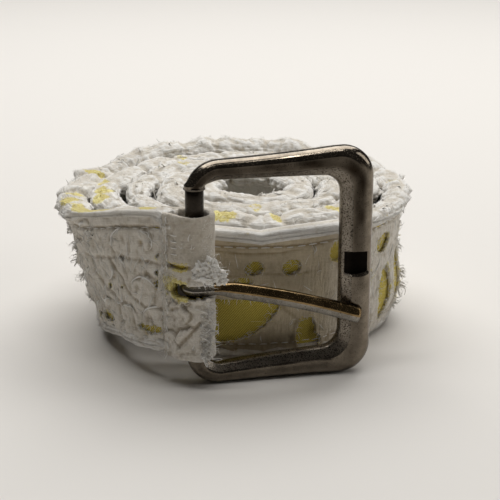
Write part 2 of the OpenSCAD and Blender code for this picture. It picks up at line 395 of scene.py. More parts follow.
def cloth_material(name, light, shade, rib=(2.4, 0.35), cross=1.1, bump=0.35, yellow=None, fuzz=0.35,
                   shade_tint=(0.56, 0.50, 0.41), stain=0.45, tint=0.0):
    """Gauzy woven cloth. The 'cloth' attribute holds strap length mm, height mm and a yellow share."""
    tree = Tree(name)
    place = tree.attribute("cloth")["Vector"]
    object_place = tree.object_place()
    parts = tree.parts(place)

    # ribs run up the strap, a finer cross thread runs along it
    ribs = tree.noise(tree.stretched(place, (rib[0], rib[1], 0)), 1.0, 2.0)
    threads = tree.noise(tree.stretched(place, (0.3, cross * 2.2, 0)), 1.0, 2.0)
    weave = tree.math("ADD", ribs, tree.math("MULTIPLY", threads, 0.6))
    lint = tree.noise(object_place, 1500.0, 4.0, 0.7)
    cloudy = tree.noise(object_place, 120.0, 3.0)
    tone = tree.math("ADD", tree.math("MULTIPLY", weave, 0.45), tree.math("MULTIPLY", cloudy, 0.6))
    colour = tree.mix(tree.ramp(tone, ((0.38, 0.80), (0, 1))), shade, light)
    mottle = tree.noise(object_place, 420.0, 6.0, 0.72)
    stained = tree.ramp(mottle, ((0.50, 0.72), (0.0, stain)))
    colour = tree.mix(stained, colour, (0.62, 0.55, 0.45), "MULTIPLY")
    if yellow:
        edge = tree.math("ADD", parts["Z"], tree.math("MULTIPLY", tree.math("SUBTRACT", lint, 0.5), 1.4))
        edge = tree.math("ADD", edge, tree.math("MULTIPLY", tree.math("SUBTRACT", mottle, 0.5), 2.0))
        share = tree.ramp(edge, ((0.42, 0.62), (0, 1)))
        grain = tree.noise(object_place, 2600.0, 2.0)
        dyed = tree.mix(tree.ramp(grain, ((0.35, 0.65), (0, 1))), yellow[0], yellow[1])
        colour = tree.mix(share, colour, dyed)
    # painted shade: the stretch seen through the buckle, s 224 to 304, is darkened to a warm brown, scaled by
    # tint
    window_shade = tree.math("SUBTRACT", tree.ramp(parts["X"], ((224, 236), (0, 1))),
                     tree.ramp(parts["X"], ((290, 304), (0, 1))))
    colour = tree.mix(tree.math("MULTIPLY", window_shade, tint), colour, (0.80, 0.725, 0.575), "MULTIPLY")
    # painted shade: the colour is darkened, in patches, wherever the per-point painted shade lies
    painted_shade = tree.attribute("painted_shade")["Fac"]
    hollow_shade = tree.math("MULTIPLY", painted_shade, tree.ramp(lint, ((0.3, 0.7), (0.65, 1.0))), clamp=True)
    colour = tree.mix(hollow_shade, colour, shade_tint, "MULTIPLY")
    tree.link(colour, tree.shader["Base Color"])
    tree.shader["Roughness"].default_value = 0.92
    tree.shader["Specular IOR Level"].default_value = 0.25
    tree.shader["Sheen Weight"].default_value = fuzz
    tree.shader["Sheen Roughness"].default_value = 0.5
    height = tree.math("ADD", weave, tree.math("MULTIPLY", lint, 0.8))
    tree.bump(height, strength=bump, distance=0.0003)
    return tree.material


def canvas_material():
    """Yellow plain-weave canvas, threads about half a millimetre apart."""
    tree = Tree("yellow_canvas")
    cloth_place = tree.attribute("cloth")["Vector"]
    parts = tree.parts(cloth_place)
    wobble = tree.math("MULTIPLY", tree.noise(cloth_place, 0.8, 2.0), 2.5)
    waves = []
    for along, up in ((2 * math.pi / 0.62, 2 * math.pi / 0.78), (2 * math.pi / 1.24, -2 * math.pi / 0.42)):
        place = tree.math("ADD", tree.math("MULTIPLY", parts["X"], along),
                          tree.math("MULTIPLY", parts["Y"], up))
        waves.append(tree.math("SINE", tree.math("ADD", place, wobble)))
    check = tree.math("ADD", waves[0], tree.math("MULTIPLY", waves[1], 0.5))
    grain = tree.noise(cloth_place, 3.5, 3.0, 0.7)
    tone = tree.math("ADD", tree.math("MULTIPLY", check, 0.22), grain)
    colour = tree.mix(tree.ramp(tone, ((0.3, 0.75), (0, 1))), (0.40, 0.30, 0.03), (0.84, 0.70, 0.16))
    tree.link(colour, tree.shader["Base Color"])
    tree.shader["Roughness"].default_value = 0.95
    tree.shader["Sheen Weight"].default_value = 0.15
    tree.bump(tone, strength=0.6, distance=0.00025)
    return tree.material


def nickel_material(name, dark, mid, pits=0.75, roughness=0.2, pit_from=0.60):
    """Antique nickel plate: bronze-brown patina, fine pits, a few rubbed scratches and a painted dark
    reflection band from a per-point value.
    """
    tree = Tree(name)
    place = tree.object_place()
    patina = tree.noise(place, 210.0, 7.0, 0.72)
    speck = tree.noise(place, 3300.0, 2.0, 0.6)
    brush = tree.noise(tree.stretched(place, (600, 600, 5200)), 1.0, 2.0)
    pitted = tree.ramp(speck, ((pit_from, pit_from + 0.06), (0, 1)))
    colour = tree.mix(tree.ramp(patina, ((0.30, 0.62), (0, 1))), dark, mid)
    colour = tree.mix(tree.math("MULTIPLY", pitted, pits), colour, (0.035, 0.028, 0.022))
    # painted reflection: a dark band where the metal would mirror dark surroundings
    dark_reflection = tree.attribute("painted_shade")["Fac"]
    colour = tree.mix(dark_reflection, colour, (0.07, 0.056, 0.043), "MULTIPLY")
    tree.link(colour, tree.shader["Base Color"])
    tree.shader["Metallic"].default_value = 1.0
    rough = tree.math("ADD", roughness - 0.06, tree.math("MULTIPLY", patina, 0.16))
    rough = tree.math("ADD", rough, tree.math("MULTIPLY", pitted, 0.25))
    tree.link(rough, tree.shader["Roughness"])
    height = tree.math("SUBTRACT", tree.math("MULTIPLY", brush, 0.12), tree.math("MULTIPLY", pitted, 0.5))
    tree.bump(height, strength=0.25, distance=0.0001)
    return tree.material


YELLOWS = ((0.64, 0.52, 0.12), (0.88, 0.82, 0.40))
WHITE = (0.80, 0.755, 0.68)
GREY_WHITE = (0.58, 0.535, 0.46)
FACE = cloth_material("slashed_gauze", WHITE, GREY_WHITE, rib=(1.5, 0.2), bump=1.0, yellow=YELLOWS, tint=1.0)
ROLL = cloth_material("rolled_gauze", (0.87, 0.85, 0.81), (0.70, 0.675, 0.63), rib=(0.12, 1.3), bump=1.0,
                      yellow=YELLOWS, shade_tint=(0.72, 0.67, 0.59), stain=0.65)
CHAPE = cloth_material("chape_cloth", WHITE, (0.60, 0.56, 0.49), rib=(2.0, 1.6), cross=1.6, bump=1.0,
                       yellow=YELLOWS)
LINING = cloth_material("lining_cloth", (0.74, 0.715, 0.66), (0.55, 0.53, 0.48), rib=(1.5, 1.5), bump=0.3)
FIBRE = cloth_material("loose_fibre", (0.85, 0.835, 0.80), (0.74, 0.715, 0.67), bump=0.1, yellow=YELLOWS,
                       stain=0.2)
CANVAS = canvas_material()
NICKEL = nickel_material("antique_nickel", (0.135, 0.113, 0.088), (0.29, 0.255, 0.21),
                         pits=0.95, roughness=0.28, pit_from=0.53)
# the polished dome is coloured darker than the satin facet: painted dark reflection
DARKENED_POLISHED = nickel_material("polished_nickel_painted_dark", (0.115, 0.095, 0.072), (0.235, 0.20, 0.158),
                           pits=0.35, roughness=0.13)
BRONZED = nickel_material("bronzed_nickel", (0.105, 0.070, 0.032), (0.30, 0.205, 0.10),
                          pits=0.3, roughness=0.15)
# lighter nickel for the prong's lower side and its curl in the slot: painted light
LIT_NICKEL = nickel_material("nickel_painted_light", (0.17, 0.155, 0.13), (0.36, 0.335, 0.295), pits=0.7, roughness=0.26)
# the heel bar is coloured near-black: painted shade, where it sits shaded inside the chape
BAR_SHADE = nickel_material("bar_painted_shade", (0.012, 0.010, 0.008), (0.038, 0.032, 0.026), roughness=0.24)
# the notch pocket is coloured near-black: painted shade in the recess
NOTCH_SHADE = nickel_material("notch_painted_shade", (0.004, 0.0035, 0.003), (0.016, 0.013, 0.010), roughness=0.55)


# ---------------------------------------------------------------- cloth relief

def disc(s, z, s0, z0, rs, rz=None):
    """1 at a spot's centre, 0 at its edge and below 0 outside."""
    return 1 - np.hypot((s - s0) / rs, (z - z0) / (rz or rs))


def petal(s, z, s0, z0, radius, facing, lift, spread=0.25):
    """A cut flap of cloth: it rises to a free rounded lip that faces one way, in degrees."""
    ds, dz = s - s0, z - z0
    ragged = 1 + 0.24 * noise(s / 2.4, z / 2.4, seed=31) + 0.10 * noise(s / 0.9, z / 0.9, seed=32)
    r = np.hypot(ds, dz) * ragged
    a = np.arctan2(dz, ds) - math.radians(facing)
    inside = ease((radius + spread - r) / (2 * spread))
    rise = ease(np.cos(a) * r / radius + 0.15)
    groove = 0.35 * np.exp(-(((r - radius - 0.5) / 0.45) ** 2)) * ease(np.cos(a) + 0.2)
    return lift * inside * rise - groove * lift


def crease(s, z, points, depth, width, puff=0.0):
    """A pressed or sewn line along points (s, z), with the cloth puffed up beside it."""
    best = np.full(s.shape, 1e9)
    for (a0, b0), (a1, b1) in zip(points[:-1], points[1:]):
        da, db = a1 - a0, b1 - b0
        t = np.clip(((s - a0) * da + (z - b0) * db) / (da * da + db * db), 0, 1)
        best = np.minimum(best, np.hypot(s - a0 - t * da, z - b0 - t * db))
    line = -depth * np.exp(-((best / width) ** 2))
    return line + puff * (1 - np.exp(-((best / width / 2) ** 2))) * np.exp(-((best / width / 6) ** 2))


# Petals in view: place along the strap, height, radius, way the lip faces, lift
LEFT_PETALS = [
    (35.0, 31.0, 3.6, 60, 0.9), (20.0, 29.5, 3.4, 25, 1.0), (14.2, 29.0, 3.3, 150, 1.1),
    (14.0, 15.8, 4.2, 95, 1.1), (28.0, 21.5, 3.2, 200, 0.7), (22.5, 22.0, 3.0, 150, 0.8),
    (10.6, 9.0, 3.4, 80, 0.9), (19.5, 8.0, 3.6, 110, 0.8), (29.5, 9.0, 3.4, 60, 0.8),
    (39.0, 17.0, 3.8, 20, 0.9), (41.0, 26.0, 3.2, 70, 0.8), (36.5, 8.0, 3.0, 10, 0.8),
    (24.5, 14.5, 3.0, 240, 0.6), (45.0, 10.5, 3.4, 30, 1.0), (47.0, 20.5, 3.4, 10, 1.1),
    (50.5, 29.0, 3.2, 40, 1.0), (10.5, 23.0, 2.6, 190, 0.6), (32.5, 26.5, 2.4, 320, 0.6),
]
LEFT_CREASES = [
    ([(38, 25.3), (30, 24.6), (22, 24.9), (15, 24.2), (8.5, 24.0)], 0.55, 0.55, 0.25),
    ([(34.5, 24.6), (34.3, 20.5), (30, 16.0), (22.5, 12.0)], 0.7, 0.5, 0.3),
    ([(25.5, 24.4), (24, 22), (21.5, 19.5), (18.8, 15), (13, 11.8)], 0.6, 0.5, 0.25),
    ([(17.6, 32.5), (17.8, 25)], 0.35, 0.4, 0.1),
    ([(15.6, 18.5), (15.8, 13)], 0.35, 0.4, 0.1),
    ([(24.5, 12), (24, 6.0)], 0.5, 0.6, 0.3), ([(18.2, 12), (16.8, 5.4)], 0.5, 0.6, 0.3),
    ([(12.2, 11), (10.6, 5.5)], 0.4, 0.5, 0.2),
]
WINDOW_CREASES = [
    ([(237, 32.6), (247, 31.4), (255, 31.3), (266, 32.2), (280, 32.4)], 0.55, 0.55, 0.15),
    ([(238, 25.3), (244, 25.0), (252, 25.9), (258, 25.0), (263, 24.4)], 0.25, 0.4, 0.12),
    ([(268, 21.5), (262, 20.4), (254, 21.2)], 0.25, 0.5, 0.15),
    ([(246, 16.0), (242, 12.0), (243, 6.0)], 0.3, 0.8, 0.2),
]
# Cut-outs through the face cloth: place, height, half length, half height
LEFT_CUTS = [
    (27.3, 16.3, 1.0, 0.95), (21.3, 16.5, 0.55, 0.6), (9.4, 21.6, 0.8, 1.0), (9.6, 18.4, 0.7, 1.2),
    (31.0, 6.2, 3.6, 1.3), (11.2, 6.0, 2.8, 1.5), (33.6, 7.6, 1.4, 1.1), (37.6, 7.0, 1.6, 0.9),
    (14.6, 6.6, 1.6, 0.9), (9.2, 26.0, 0.5, 0.9), (22.4, 6.2, 1.2, 0.7),
]
WINDOW_CUTS = [
    (253.3, 27.3, 2.3, 2.1), (244.2, 27.2, 2.4, 2.4), (232.2, 30.0, 2.5, 3.2),
    (256.0, 23.5, 2.6, 1.3), (239.2, 7.4, 2.9, 5.2), (237.6, 4.6, 3.0, 2.6),
]
RIGHT_CUTS = [
    (214.6, 27.8, 3.4, 2.9), (211.9, 12.6, 3.0, 8.4), (203.6, 16.0, 3.6, 8.0), (219.5, 19.0, 1.0, 2.4),
    (192.0, 26.0, 2.2, 3.6), (187.0, 12.0, 2.6, 4.4), (177.5, 22.0, 2.4, 4.6), (225.0, 12.0, 1.4, 3.4),
]
HALF_MOON = (264.5, 18.6, 18.2, 13.4)


def scattered(start, stop, gap, seed):
    """Seeded petals and cut-outs for the stretches with no marked ones."""
    rng = np.random.default_rng(seed)
    petals, cuts = [], []
    for s0 in np.arange(start, stop, gap):
        for z0 in (9.0, 19.0, 28.5):
            if rng.random() < 0.8:
                petals.append((s0 + rng.uniform(-3, 3), z0 + rng.uniform(-2.5, 2.5), rng.uniform(2.6, 4.2),
                               rng.uniform(0, 360), rng.uniform(0.6, 1.2)))
        if rng.random() < 0.45:
            cuts.append((s0 + rng.uniform(-4, 4), rng.uniform(8, 30), rng.uniform(0.9, 2.4),
                         rng.uniform(1, 3.4)))
    return petals, cuts


BACK_PETALS, BACK_CUTS = scattered(55, 180, 8.5, 3)
RIGHT_PETALS = [
    (221.5, 28.0, 3.0, 200, 0.7), (219.0, 9.0, 3.2, 20, 0.8), (206.0, 23.0, 3.0, 160, 1.0),
    (206.0, 8.0, 3.0, 200, 1.0), (195.0, 24.5, 3.2, 100, 1.1), (194.0, 7.0, 3.2, 140, 1.0),
    (184.0, 28.0, 3.2, 60, 1.0), (183.0, 19.0, 3.0, 120, 1.0),
]
FAR_PETALS, FAR_CUTS = scattered(286, 740, 13, 5)
PETALS = LEFT_PETALS + BACK_PETALS + RIGHT_PETALS + FAR_PETALS
CREASES = LEFT_CREASES + WINDOW_CREASES
CUTS = LEFT_CUTS + BACK_CUTS + WINDOW_CUTS + RIGHT_CUTS + FAR_CUTS
SMOOTH_WINDOW = (232.0, 290.0)


def near(values, s, margin=12):
    return [v for v in values if s.min() - margin < v[0] < s.max() + margin]


def calm(s):
    """1 in the smooth hemmed stretch behind the buckle, 0 elsewhere."""
    return ease((s - SMOOTH_WINDOW[0] + 3) / 6) * ease((SMOOTH_WINDOW[1] + 3 - s) / 6)


def cut_share(s, z):
    """Above 0 inside a cut-out."""
    ragged = 0.16 * noise(s / 0.9, z / 0.9, seed=3) + 0.12 * noise(s / 2.1, z / 2.1, seed=4)
    best = np.full(s.shape, -9.0)
    for s0, z0, rs, rz in near(CUTS, s):
        best = np.maximum(best, disc(s, z, s0, z0, rs, rz) * min(rs, rz) + 0.55 * ragged)
    s0, z0, rs, rz = HALF_MOON
    if s.max() > s0 - rs:
        moon = np.minimum(disc(s, z, s0, z0, rs, rz) * rz, z0 - z) + ragged
        best = np.maximum(best, moon)
    return best


def face_relief(s, z):
    soft = 1 - 0.7 * calm(s)
    lift = 0.42 * fbm(s / 8, z / 9, octaves=2, seed=11) * soft
    lift = lift + 0.20 * fbm(s / 2.4, z / 3.6, octaves=3, seed=12) * (1 - 0.6 * calm(s))
    lift = lift + (0.10 * noise(s / 0.8, z / 1.5, seed=13) + 0.13 * noise(s / 1.5, z / 1.2, seed=16)) * soft
    folds = np.abs(noise(s / 3.4, z / 11, seed=14)) * ease((16 - z) / 10)
    lift = lift - 0.55 * (1 - folds) ** 4 * ease((16 - z) / 10) * soft
    lift = lift + 0.30 * (crumple(s / 4.2, z / 5.5, seed=15) - 0.5) * soft
    for item in near(PETALS, s):
        lift = lift + 0.50 * petal(s, z, *item)
    for points, depth, width, puff in CREASES:
        if points[0][0] > s.min() - 20 and points[0][0] < s.max() + 40:
            lift = lift + 0.52 * crease(s, z, points, depth, width, puff)
    lift = lift - 0.65 * np.exp(-(((z - WIDTH + 4.9) / 0.5) ** 2))
    lift = lift - 0.16 * np.exp(-(((z - 5.2) / 0.5) ** 2))
    return lift * ease(z / 2.5) * ease((WIDTH - z) / 2.5)


def sheet_grid(start, stop, low, high, size):
    s = steps(start, stop, size)
    z = steps(low, high, size)
    return np.meshgrid(s, z, indexing="ij")


def cloth_data(s, z, yellow=0.0):
    return np.stack(np.broadcast_arrays(s, z, yellow), -1)


def strands(name, s, z, o, ds, dz, do, radius, material, yellow, rings=4, droop=0.0, flat=1.0, sides=3):
    """Loose threads that start at strap places and reach out by (ds, dz, do) millimetres, curling."""
    t = np.linspace(0, 1, rings)[None]
    curl = np.random.default_rng(int(abs(s[0]) * 10) + len(s)).normal(0, 0.28, (3, len(s), 1))
    length = np.sqrt(ds**2 + dz**2 + do**2)[:, None]
    bend = np.sin(t * np.pi * 0.9) * length
    ss = s[:, None] + ds[:, None] * t + curl[0] * bend
    zz = z[:, None] + dz[:, None] * t + curl[1] * bend - droop * t**2
    oo = o[:, None] + do[:, None] * t + np.abs(curl[2]) * bend * 0.7
    points = strap_point(u_at(ss), oo, zz)
    points[..., 2] = np.maximum(points[..., 2], 0.25)
    thin = radius[:, None] * (1 - 0.55 * t)
    return tubes(name, points, thin, material, sides=sides, data=cloth_data(s, z, yellow), flat=flat)


def behind_buckle(s):
    """1 on the stretch that the buckle frame covers, where the cloth takes painted shade."""
    return ease((s - 224) / 10) * ease((300 - s) / 10)


def face_piece(name, start, stop, size):
    s, z = sheet_grid(start, stop, 1.6, WIDTH - 1.6, size)
    cut = cut_share(s, z)
    relief = face_relief(s, z)
    near_cut = ease((cut + 1.1) / 1.1)
    front = FACE_OUT + relief + 0.25 * near_cut * (1 - ease(cut / 0.4))
    back = np.minimum(front - 0.65, 1.15 + 0.6 * relief)
    keep = (cut[:-1, :-1] < 0) | (cut[1:, 1:] < 0)
    tint = np.clip(near_cut - 0.62, 0, 1) * 1.1 * (noise(s / 1.3, z / 1.3, seed=8) > -0.1)
    u = u_at(s)
    # painted shade: darker in hollows of the relief, and a painted shadow low down behind the buckle frame
    painted_shade = hollows(relief, int(2.6 / size), 0.22) + hollows(relief, int(12 / size), 0.55)
    painted_shade = np.clip(painted_shade + 0.9 * behind_buckle(s) * ease((10 - z) / 8), 0, 1)
    obj, edges = thick_sheet(name, strap_point(u, front, z), strap_point(u, back, z), keep, FACE,
                             cloth_data(s, z, tint), painted_shade)
    a, b = edges[:, 0], edges[:, 1]
    sf, zf, of = s.ravel(), z.ravel(), front.ravel()
    inner = (zf[a] > 2.2) & (zf[a] < WIDTH - 2.2) & (sf[a] > start + 1) & (sf[a] < stop - 1)
    a, b = a[inner], b[inner]
    hole = np.stack([-(zf[b] - zf[a]), sf[b] - sf[a]], -1)
    hole /= np.linalg.norm(hole, axis=1, keepdims=True) + 1e-9
    return obj, (sf[a], zf[a], of[a], hole)


def edge_frays(name, roots, share, material, seed, length=(0.7, 2.2), radius=(0.05, 0.10)):
    rng = np.random.default_rng(seed)
    s, z, o, hole = roots
    pick = np.nonzero(rng.random(len(s)) < share)[0]
    pick = np.concatenate([pick, pick[rng.random(len(pick)) < 0.5]])
    n = len(pick)
    long = rng.uniform(*length, n) * rng.choice([1, 1, 1, 1.8], n)
    turn = rng.normal(0, 0.7, n)
    hs, hz = hole[pick].T
    ds = long * (hs * np.cos(turn) - hz * np.sin(turn)) * 0.8
    dz = long * (hs * np.sin(turn) + hz * np.cos(turn)) * 0.8
    do = long * rng.uniform(-0.1, 0.55, n)
    return strands(name, s[pick] - ds * 0.15, z[pick] - dz * 0.15, o[pick] - 0.15, ds, dz, do,
                   rng.uniform(*radius, n), material, (rng.random(n) < 0.25) * 0.9, droop=0.25)


def petal_lips(name, petals, seed):
    """Rolled thready rims along the free lips of the petals."""
    rng = np.random.default_rng(seed)
    points, radii, data = [], [], []
    for s0, z0, radius, facing, _lift in petals:
        for _ in range(5):
            half = rng.uniform(12, 42)
            mid = facing + rng.uniform(-35, 35)
            a = np.radians(np.linspace(mid - half, mid + half, 9))
            r = radius * (1 + rng.uniform(-0.05, 0.06)) + 0.25 * noise(a * 3, rng.uniform(0, 99), seed=77)
            s, z = s0 + r * np.cos(a), np.clip(z0 + r * np.sin(a), 2.6, WIDTH - 2.6)
            inner = face_relief(s0 + 0.92 * (s - s0), z0 + 0.92 * (z - z0))
            o = FACE_OUT + inner + rng.uniform(-0.05, 0.12)
            points.append(strap_point(u_at(s), o, z))
            radii.append(rng.uniform(0.11, 0.26) * np.sin(np.linspace(0.25, np.pi - 0.25, 9)))
            data.append((s0, z0, 0.0))
    return tubes(name, np.array(points), np.array(radii), FIBRE, sides=5, data=np.array(data))


def flat_layer(name, start, stop, size, outer, inner, material, wrinkle, low=1.4, high=WIDTH - 1.4):
    s, z = sheet_grid(start, stop, low, high, size)
    u = u_at(s)
    wave = wrinkle * (fbm(s / 6, z / 7, octaves=3, seed=21) + 0.4 * noise(s / 1.7, z / 3.5, seed=22))
    wave = wave * ease((z - low) / 2) * ease((high - z) / 2)
    keep = np.ones((s.shape[0] - 1, s.shape[1] - 1), bool)
    front, back = strap_point(u, outer + wave, z), strap_point(u, inner + wave, z)
    return thick_sheet(name, front, back, keep, material, cloth_data(s, z))[0]


# ---------------------------------------------------------------- rolled edges

# Yellow dyed patches on the upper roll: place, half length, angle round the roll, half angle, strength
ROLL_PATCHES = [
    (75.5, 2.0, 120, 60, 1.0), (36.0, 10, 82, 54, 1.0), (48.0, 4.0, 78, 54, 0.95),
    (27.0, 2.6, 96, 44, 0.8), (54.5, 3.0, 110, 50, 0.8), (12.8, 3.0, 100, 50, 1.0),
    (309.0, 6.0, 90, 60, 0.9), (302.0, 4.5, 60, 50, 0.85), (318.0, 3.0, 60, 40, 0.8),
    (486.0, 3.6, 80, 60, 1.0), (471.0, 4.4, 80, 60, 0.9), (458.0, 1.8, 90, 60, 0.9),
    (442.5, 1.6, 90, 60, 0.9), (98.0, 2.6, 300, 50, 0.7), (132.0, 2.4, 20, 60, 0.7),
    (190.0, 2.4, 100, 50, 0.6), (349.0, 2.0, 90, 60, 0.5), (533.0, 2.0, 90, 60, 0.5),
    (620.0, 2.2, 90, 60, 0.5), (158.0, 2.0, 80, 60, 0.6),
]


def roll_pinches(seed, stop):
    rng = np.random.default_rng(seed)
    places = np.cumsum(rng.uniform(7, 18, 100))
    return places[places < stop], rng.uniform(0.10, 0.34, 100)


def front_hem(s):
    """1 on the hemmed stretch of the roll beside the buckle, 0 elsewhere."""
    return ease((s - 7) / 4) * ease((44 - s) / 8)


def hem_share(s):
    """1 where the roll is a smooth flat hem, 0 where it is puffed and gathered."""
    behind = ease((s - 214) / 10) * ease((288 - s) / 8)
    return np.maximum(front_hem(s), behind)


def roll_shape(s, angle, up, seed):
    """Half width, half height, outward shift and rise of an edge roll, in millimetres."""
    smooth = hem_share(s)
    rough = 1 - smooth
    if not up:
        wide = 1.95 + 0.2 * noise(s / 5, 0.5, seed=seed)
        lumps = 0.36 * (crumple(s / 2.8, 1.9 * np.cos(angle), 1.9 * np.sin(angle), seed=seed + 5) - 0.45)
        return wide * (1 + lumps), 2.0 * (1 + lumps), 0.2 * noise(s / 9, 0.7, seed=seed + 1), 0 * s
    centre_gap = ease((s - 300) / 40)
    full = (np.exp(-(((s - 311) / 13) ** 2)) + 0.5 * np.exp(-(((s - 80) / 10) ** 2))
            + 0.8 * np.exp(-(((s - 196) / 15) ** 2)))
    front = front_hem(s)
    wide = 2.55 + 1.2 * rough + 0.65 * centre_gap * rough + 0.9 * full - 0.45 * front
    tall = 1.75 + 0.95 * rough - 0.65 * front
    swell = 1 + 0.26 * rough * noise(s / 8.5, 0.3, seed=seed)
    pinches, depths = roll_pinches(seed, STRAP_LENGTH + 20)
    for place, depth in zip(pinches, depths):
        slant = place + 2.4 * math.sin(place * 7) * np.sin(angle + place)
        slant = slant + 0.7 * noise(s / 2, angle, seed=seed + 4)
        swell = swell - depth * rough * np.exp(-(((s - slant) / 1.05) ** 2))
    ripple = 2.5 * noise(s / 4, angle, seed=seed + 3)
    gather = np.abs(np.sin(s * 1.35 + 1.8 * np.sin(angle + s * 0.11) + ripple))
    gathered = ease((noise(s / 11, 0.9, seed=seed + 12) + 0.25) / 0.5)
    swell = swell + 0.065 * rough * gathered * (gather - 0.6)
    ring_x, ring_y = 2.0 * np.cos(angle), 2.0 * np.sin(angle)
    folds = crumple(s / 4.4, 0.8 * ring_x, 0.8 * ring_y, seed=seed + 5) - 0.5
    swell = swell + (0.22 + 0.12 * centre_gap) * folds * (0.2 + 0.8 * rough)
    fine_folds = crumple(s / 1.9, 1.3 * ring_x, 1.3 * ring_y, seed=seed + 15) - 0.5
    swell = swell + 0.13 * fine_folds * (0.05 + 0.95 * rough)
    swell = swell + 0.12 * fbm(s / 2.2, ring_x, ring_y, octaves=2, seed=seed + 6) * (0.2 + 0.8 * rough)
    peaks = np.maximum(noise(s / 2.6, ring_x, ring_y, seed=seed + 8) - 0.35, 0)
    swell = swell + 0.5 * peaks * rough * (0.4 + 0.6 * (s < 200))
    sway = (0.65 * rough + 0.1) * noise(s / 8.5, 0.7, seed=seed + 1) + 0.9 * full
    sway = sway - 1.0 * rough * ease((225 - s) / 10)
    rise = 0.55 * rough * noise(s / 6.0, 1.7, seed=seed + 2)
    rise = rise + 2.3 * ease((s - 84) / 26) * ease((186 - s) / 26)
    far_side = ease((s - 84) / 20) * ease((200 - s) / 20)
    rise = rise + 0.9 * noise(s / 5.2, 4.4, seed=seed + 14) * far_side
    dip = -0.85 * np.exp(-np.abs((s - 251.6) / 3.0)) + 0.35 * ease(np.abs(s - 251.6) / 14)
    return wide * swell, tall * swell, sway, rise + dip * calm(s) + 0.55 * smooth + 0.45 * front


def edge_roll(name, start, stop, size, up, seed, around=44):
    s_line = steps(start, stop, size)
    angles = np.linspace(0, 2 * np.pi, around, endpoint=False)
    s, a = np.meshgrid(s_line, angles, indexing="ij")
    wide, tall, sway, rise = roll_shape(s, a, up, seed)
    smooth = hem_share(s)
    power = 1 - 0.32 * smooth
    co = np.sign(np.cos(a)) * np.abs(np.cos(a)) ** power
    si = np.sign(np.sin(a)) * np.abs(np.sin(a)) ** power
    base = WIDTH - 2.45 if up else 2.15
    o = wide * co + sway
    z = base + tall * si + rise * (1 if up else 0.4)
    points = strap_point(u_at(s), o, z)
    floor = 0.05 + 0.10 * (1 + noise(s / 3, a * 1.2, seed=seed + 9))
    points[..., 2] = np.maximum(points[..., 2], np.where(points[..., 2] < 1.2, floor, 0))
    yellow = np.zeros(s.shape)
    if up:
        for s0, half, mid, spread, strength in ROLL_PATCHES:
            turn = (np.degrees(a) - mid + 180) % 360 - 180
            yellow = np.maximum(yellow, strength * np.clip(disc(s, turn, s0, 0, half, spread) * 2.2, 0, 1))
    n, m = s.shape
    data = cloth_data(s, a * 4.2, yellow)
    lids = [np.arange(m)[None, ::-1], (np.arange(m) + (n - 1) * m)[None]]
    size_map = np.hypot(wide * co, tall * si)
    # painted shade in the pinches and folds of the roll
    painted_shade = np.clip(hollows(size_map, 5, 0.18, True) + hollows(size_map, 22, 0.5, True), 0, 1)
    # painted shade on the underside of the roll and over the front hem
    roll_shade = ease(-np.sin(a) * 1.4 - 0.3) * 0.4 + 0.55 * ease((s - 7) / 4) * ease((44 - s) / 8)
    # a darker mottled stretch on the left of the outer turn, s 30 to 95
    left_darkening = 0.6 * ease((s - 30) / 10) * ease((95 - s) / 15) * (0.5 + noise(s / 3, a, seed=97))
    roll_shade = np.clip(roll_shade + left_darkening, 0, 1)
    # the upper roll takes this shade; the bottom roll takes painted shade behind the buckle frame
    obj = make_object(name, points, [grid_quads(n, m, True), *lids], ROLL, data=data,
                      painted_shade=np.maximum(painted_shade, roll_shade if up else behind_buckle(s)))
    return obj, (s, a, o, z, yellow)


def roll_fluff(name, shape, count, seed, length=(0.35, 1.1), lowest=0.0, ribbon=False):
    """Short soft fibres, or frayed shreds of cloth, that stand off the gathered rolls."""
    rng = np.random.default_rng(seed)
    s, a, o, z, yellow = shape
    clump = ease((noise(s / 3.0, a * 1.3, seed=seed) + 0.35) / 0.6)
    weight = (0.10 + 0.90 * (1 - hem_share(s))) * (np.sin(a) > lowest - 0.6) * (0.15 + clump)
    weight = (weight / weight.sum()).ravel()
    pick = rng.choice(s.size, count, p=weight)
    sp, ap, op, zp = (v.ravel()[pick] for v in (s, a, o, z))
    long = rng.uniform(*length, count) * rng.choice([0.6, 1, 1, 1.5], count)
    out = rng.uniform(0.0, 0.25, count) if ribbon else rng.uniform(0.1, 0.6, count)
    along = rng.normal(0, 0.7, count)
    lie = rng.normal(0, 0.6, count)
    ds = along * long
    do = (np.cos(ap) * out - np.sin(ap) * lie) * long
    dz = (np.sin(ap) * out + np.cos(ap) * lie) * long
    wide = rng.uniform(0.16, 0.38, count) if ribbon else rng.uniform(0.04, 0.085, count)
    return strands(name, sp, zp, op, ds, dz, do, wide, FIBRE, yellow.ravel()[pick],
                   rings=5 if ribbon else 4, flat=0.28 if ribbon else 1.0, sides=4 if ribbon else 3)


def stitching(name, start, stop, z0, seed, pitch=2.9):
    rng = np.random.default_rng(seed)
    places = np.arange(start + 1, stop - 2, pitch)
    t = np.linspace(0, 1, 6)
    points, radii = [], []
    for place in places:
        s = place + t * 2.1
        z = z0 + rng.normal(0, 0.12) + 0.12 * np.sin(t * np.pi)
        o = FACE_OUT + face_relief(s, np.full(s.shape, z0)) + 0.16 * np.sin(t * np.pi) - 0.04
        points.append(strap_point(u_at(s), o, z))
        radii.append(np.full(6, 0.15 if z0 > 10 else 0.1) * np.sin(0.3 + t * (np.pi - 0.6)) ** 0.4)
    return tubes(name, np.array(points), np.array(radii), FIBRE, sides=6)


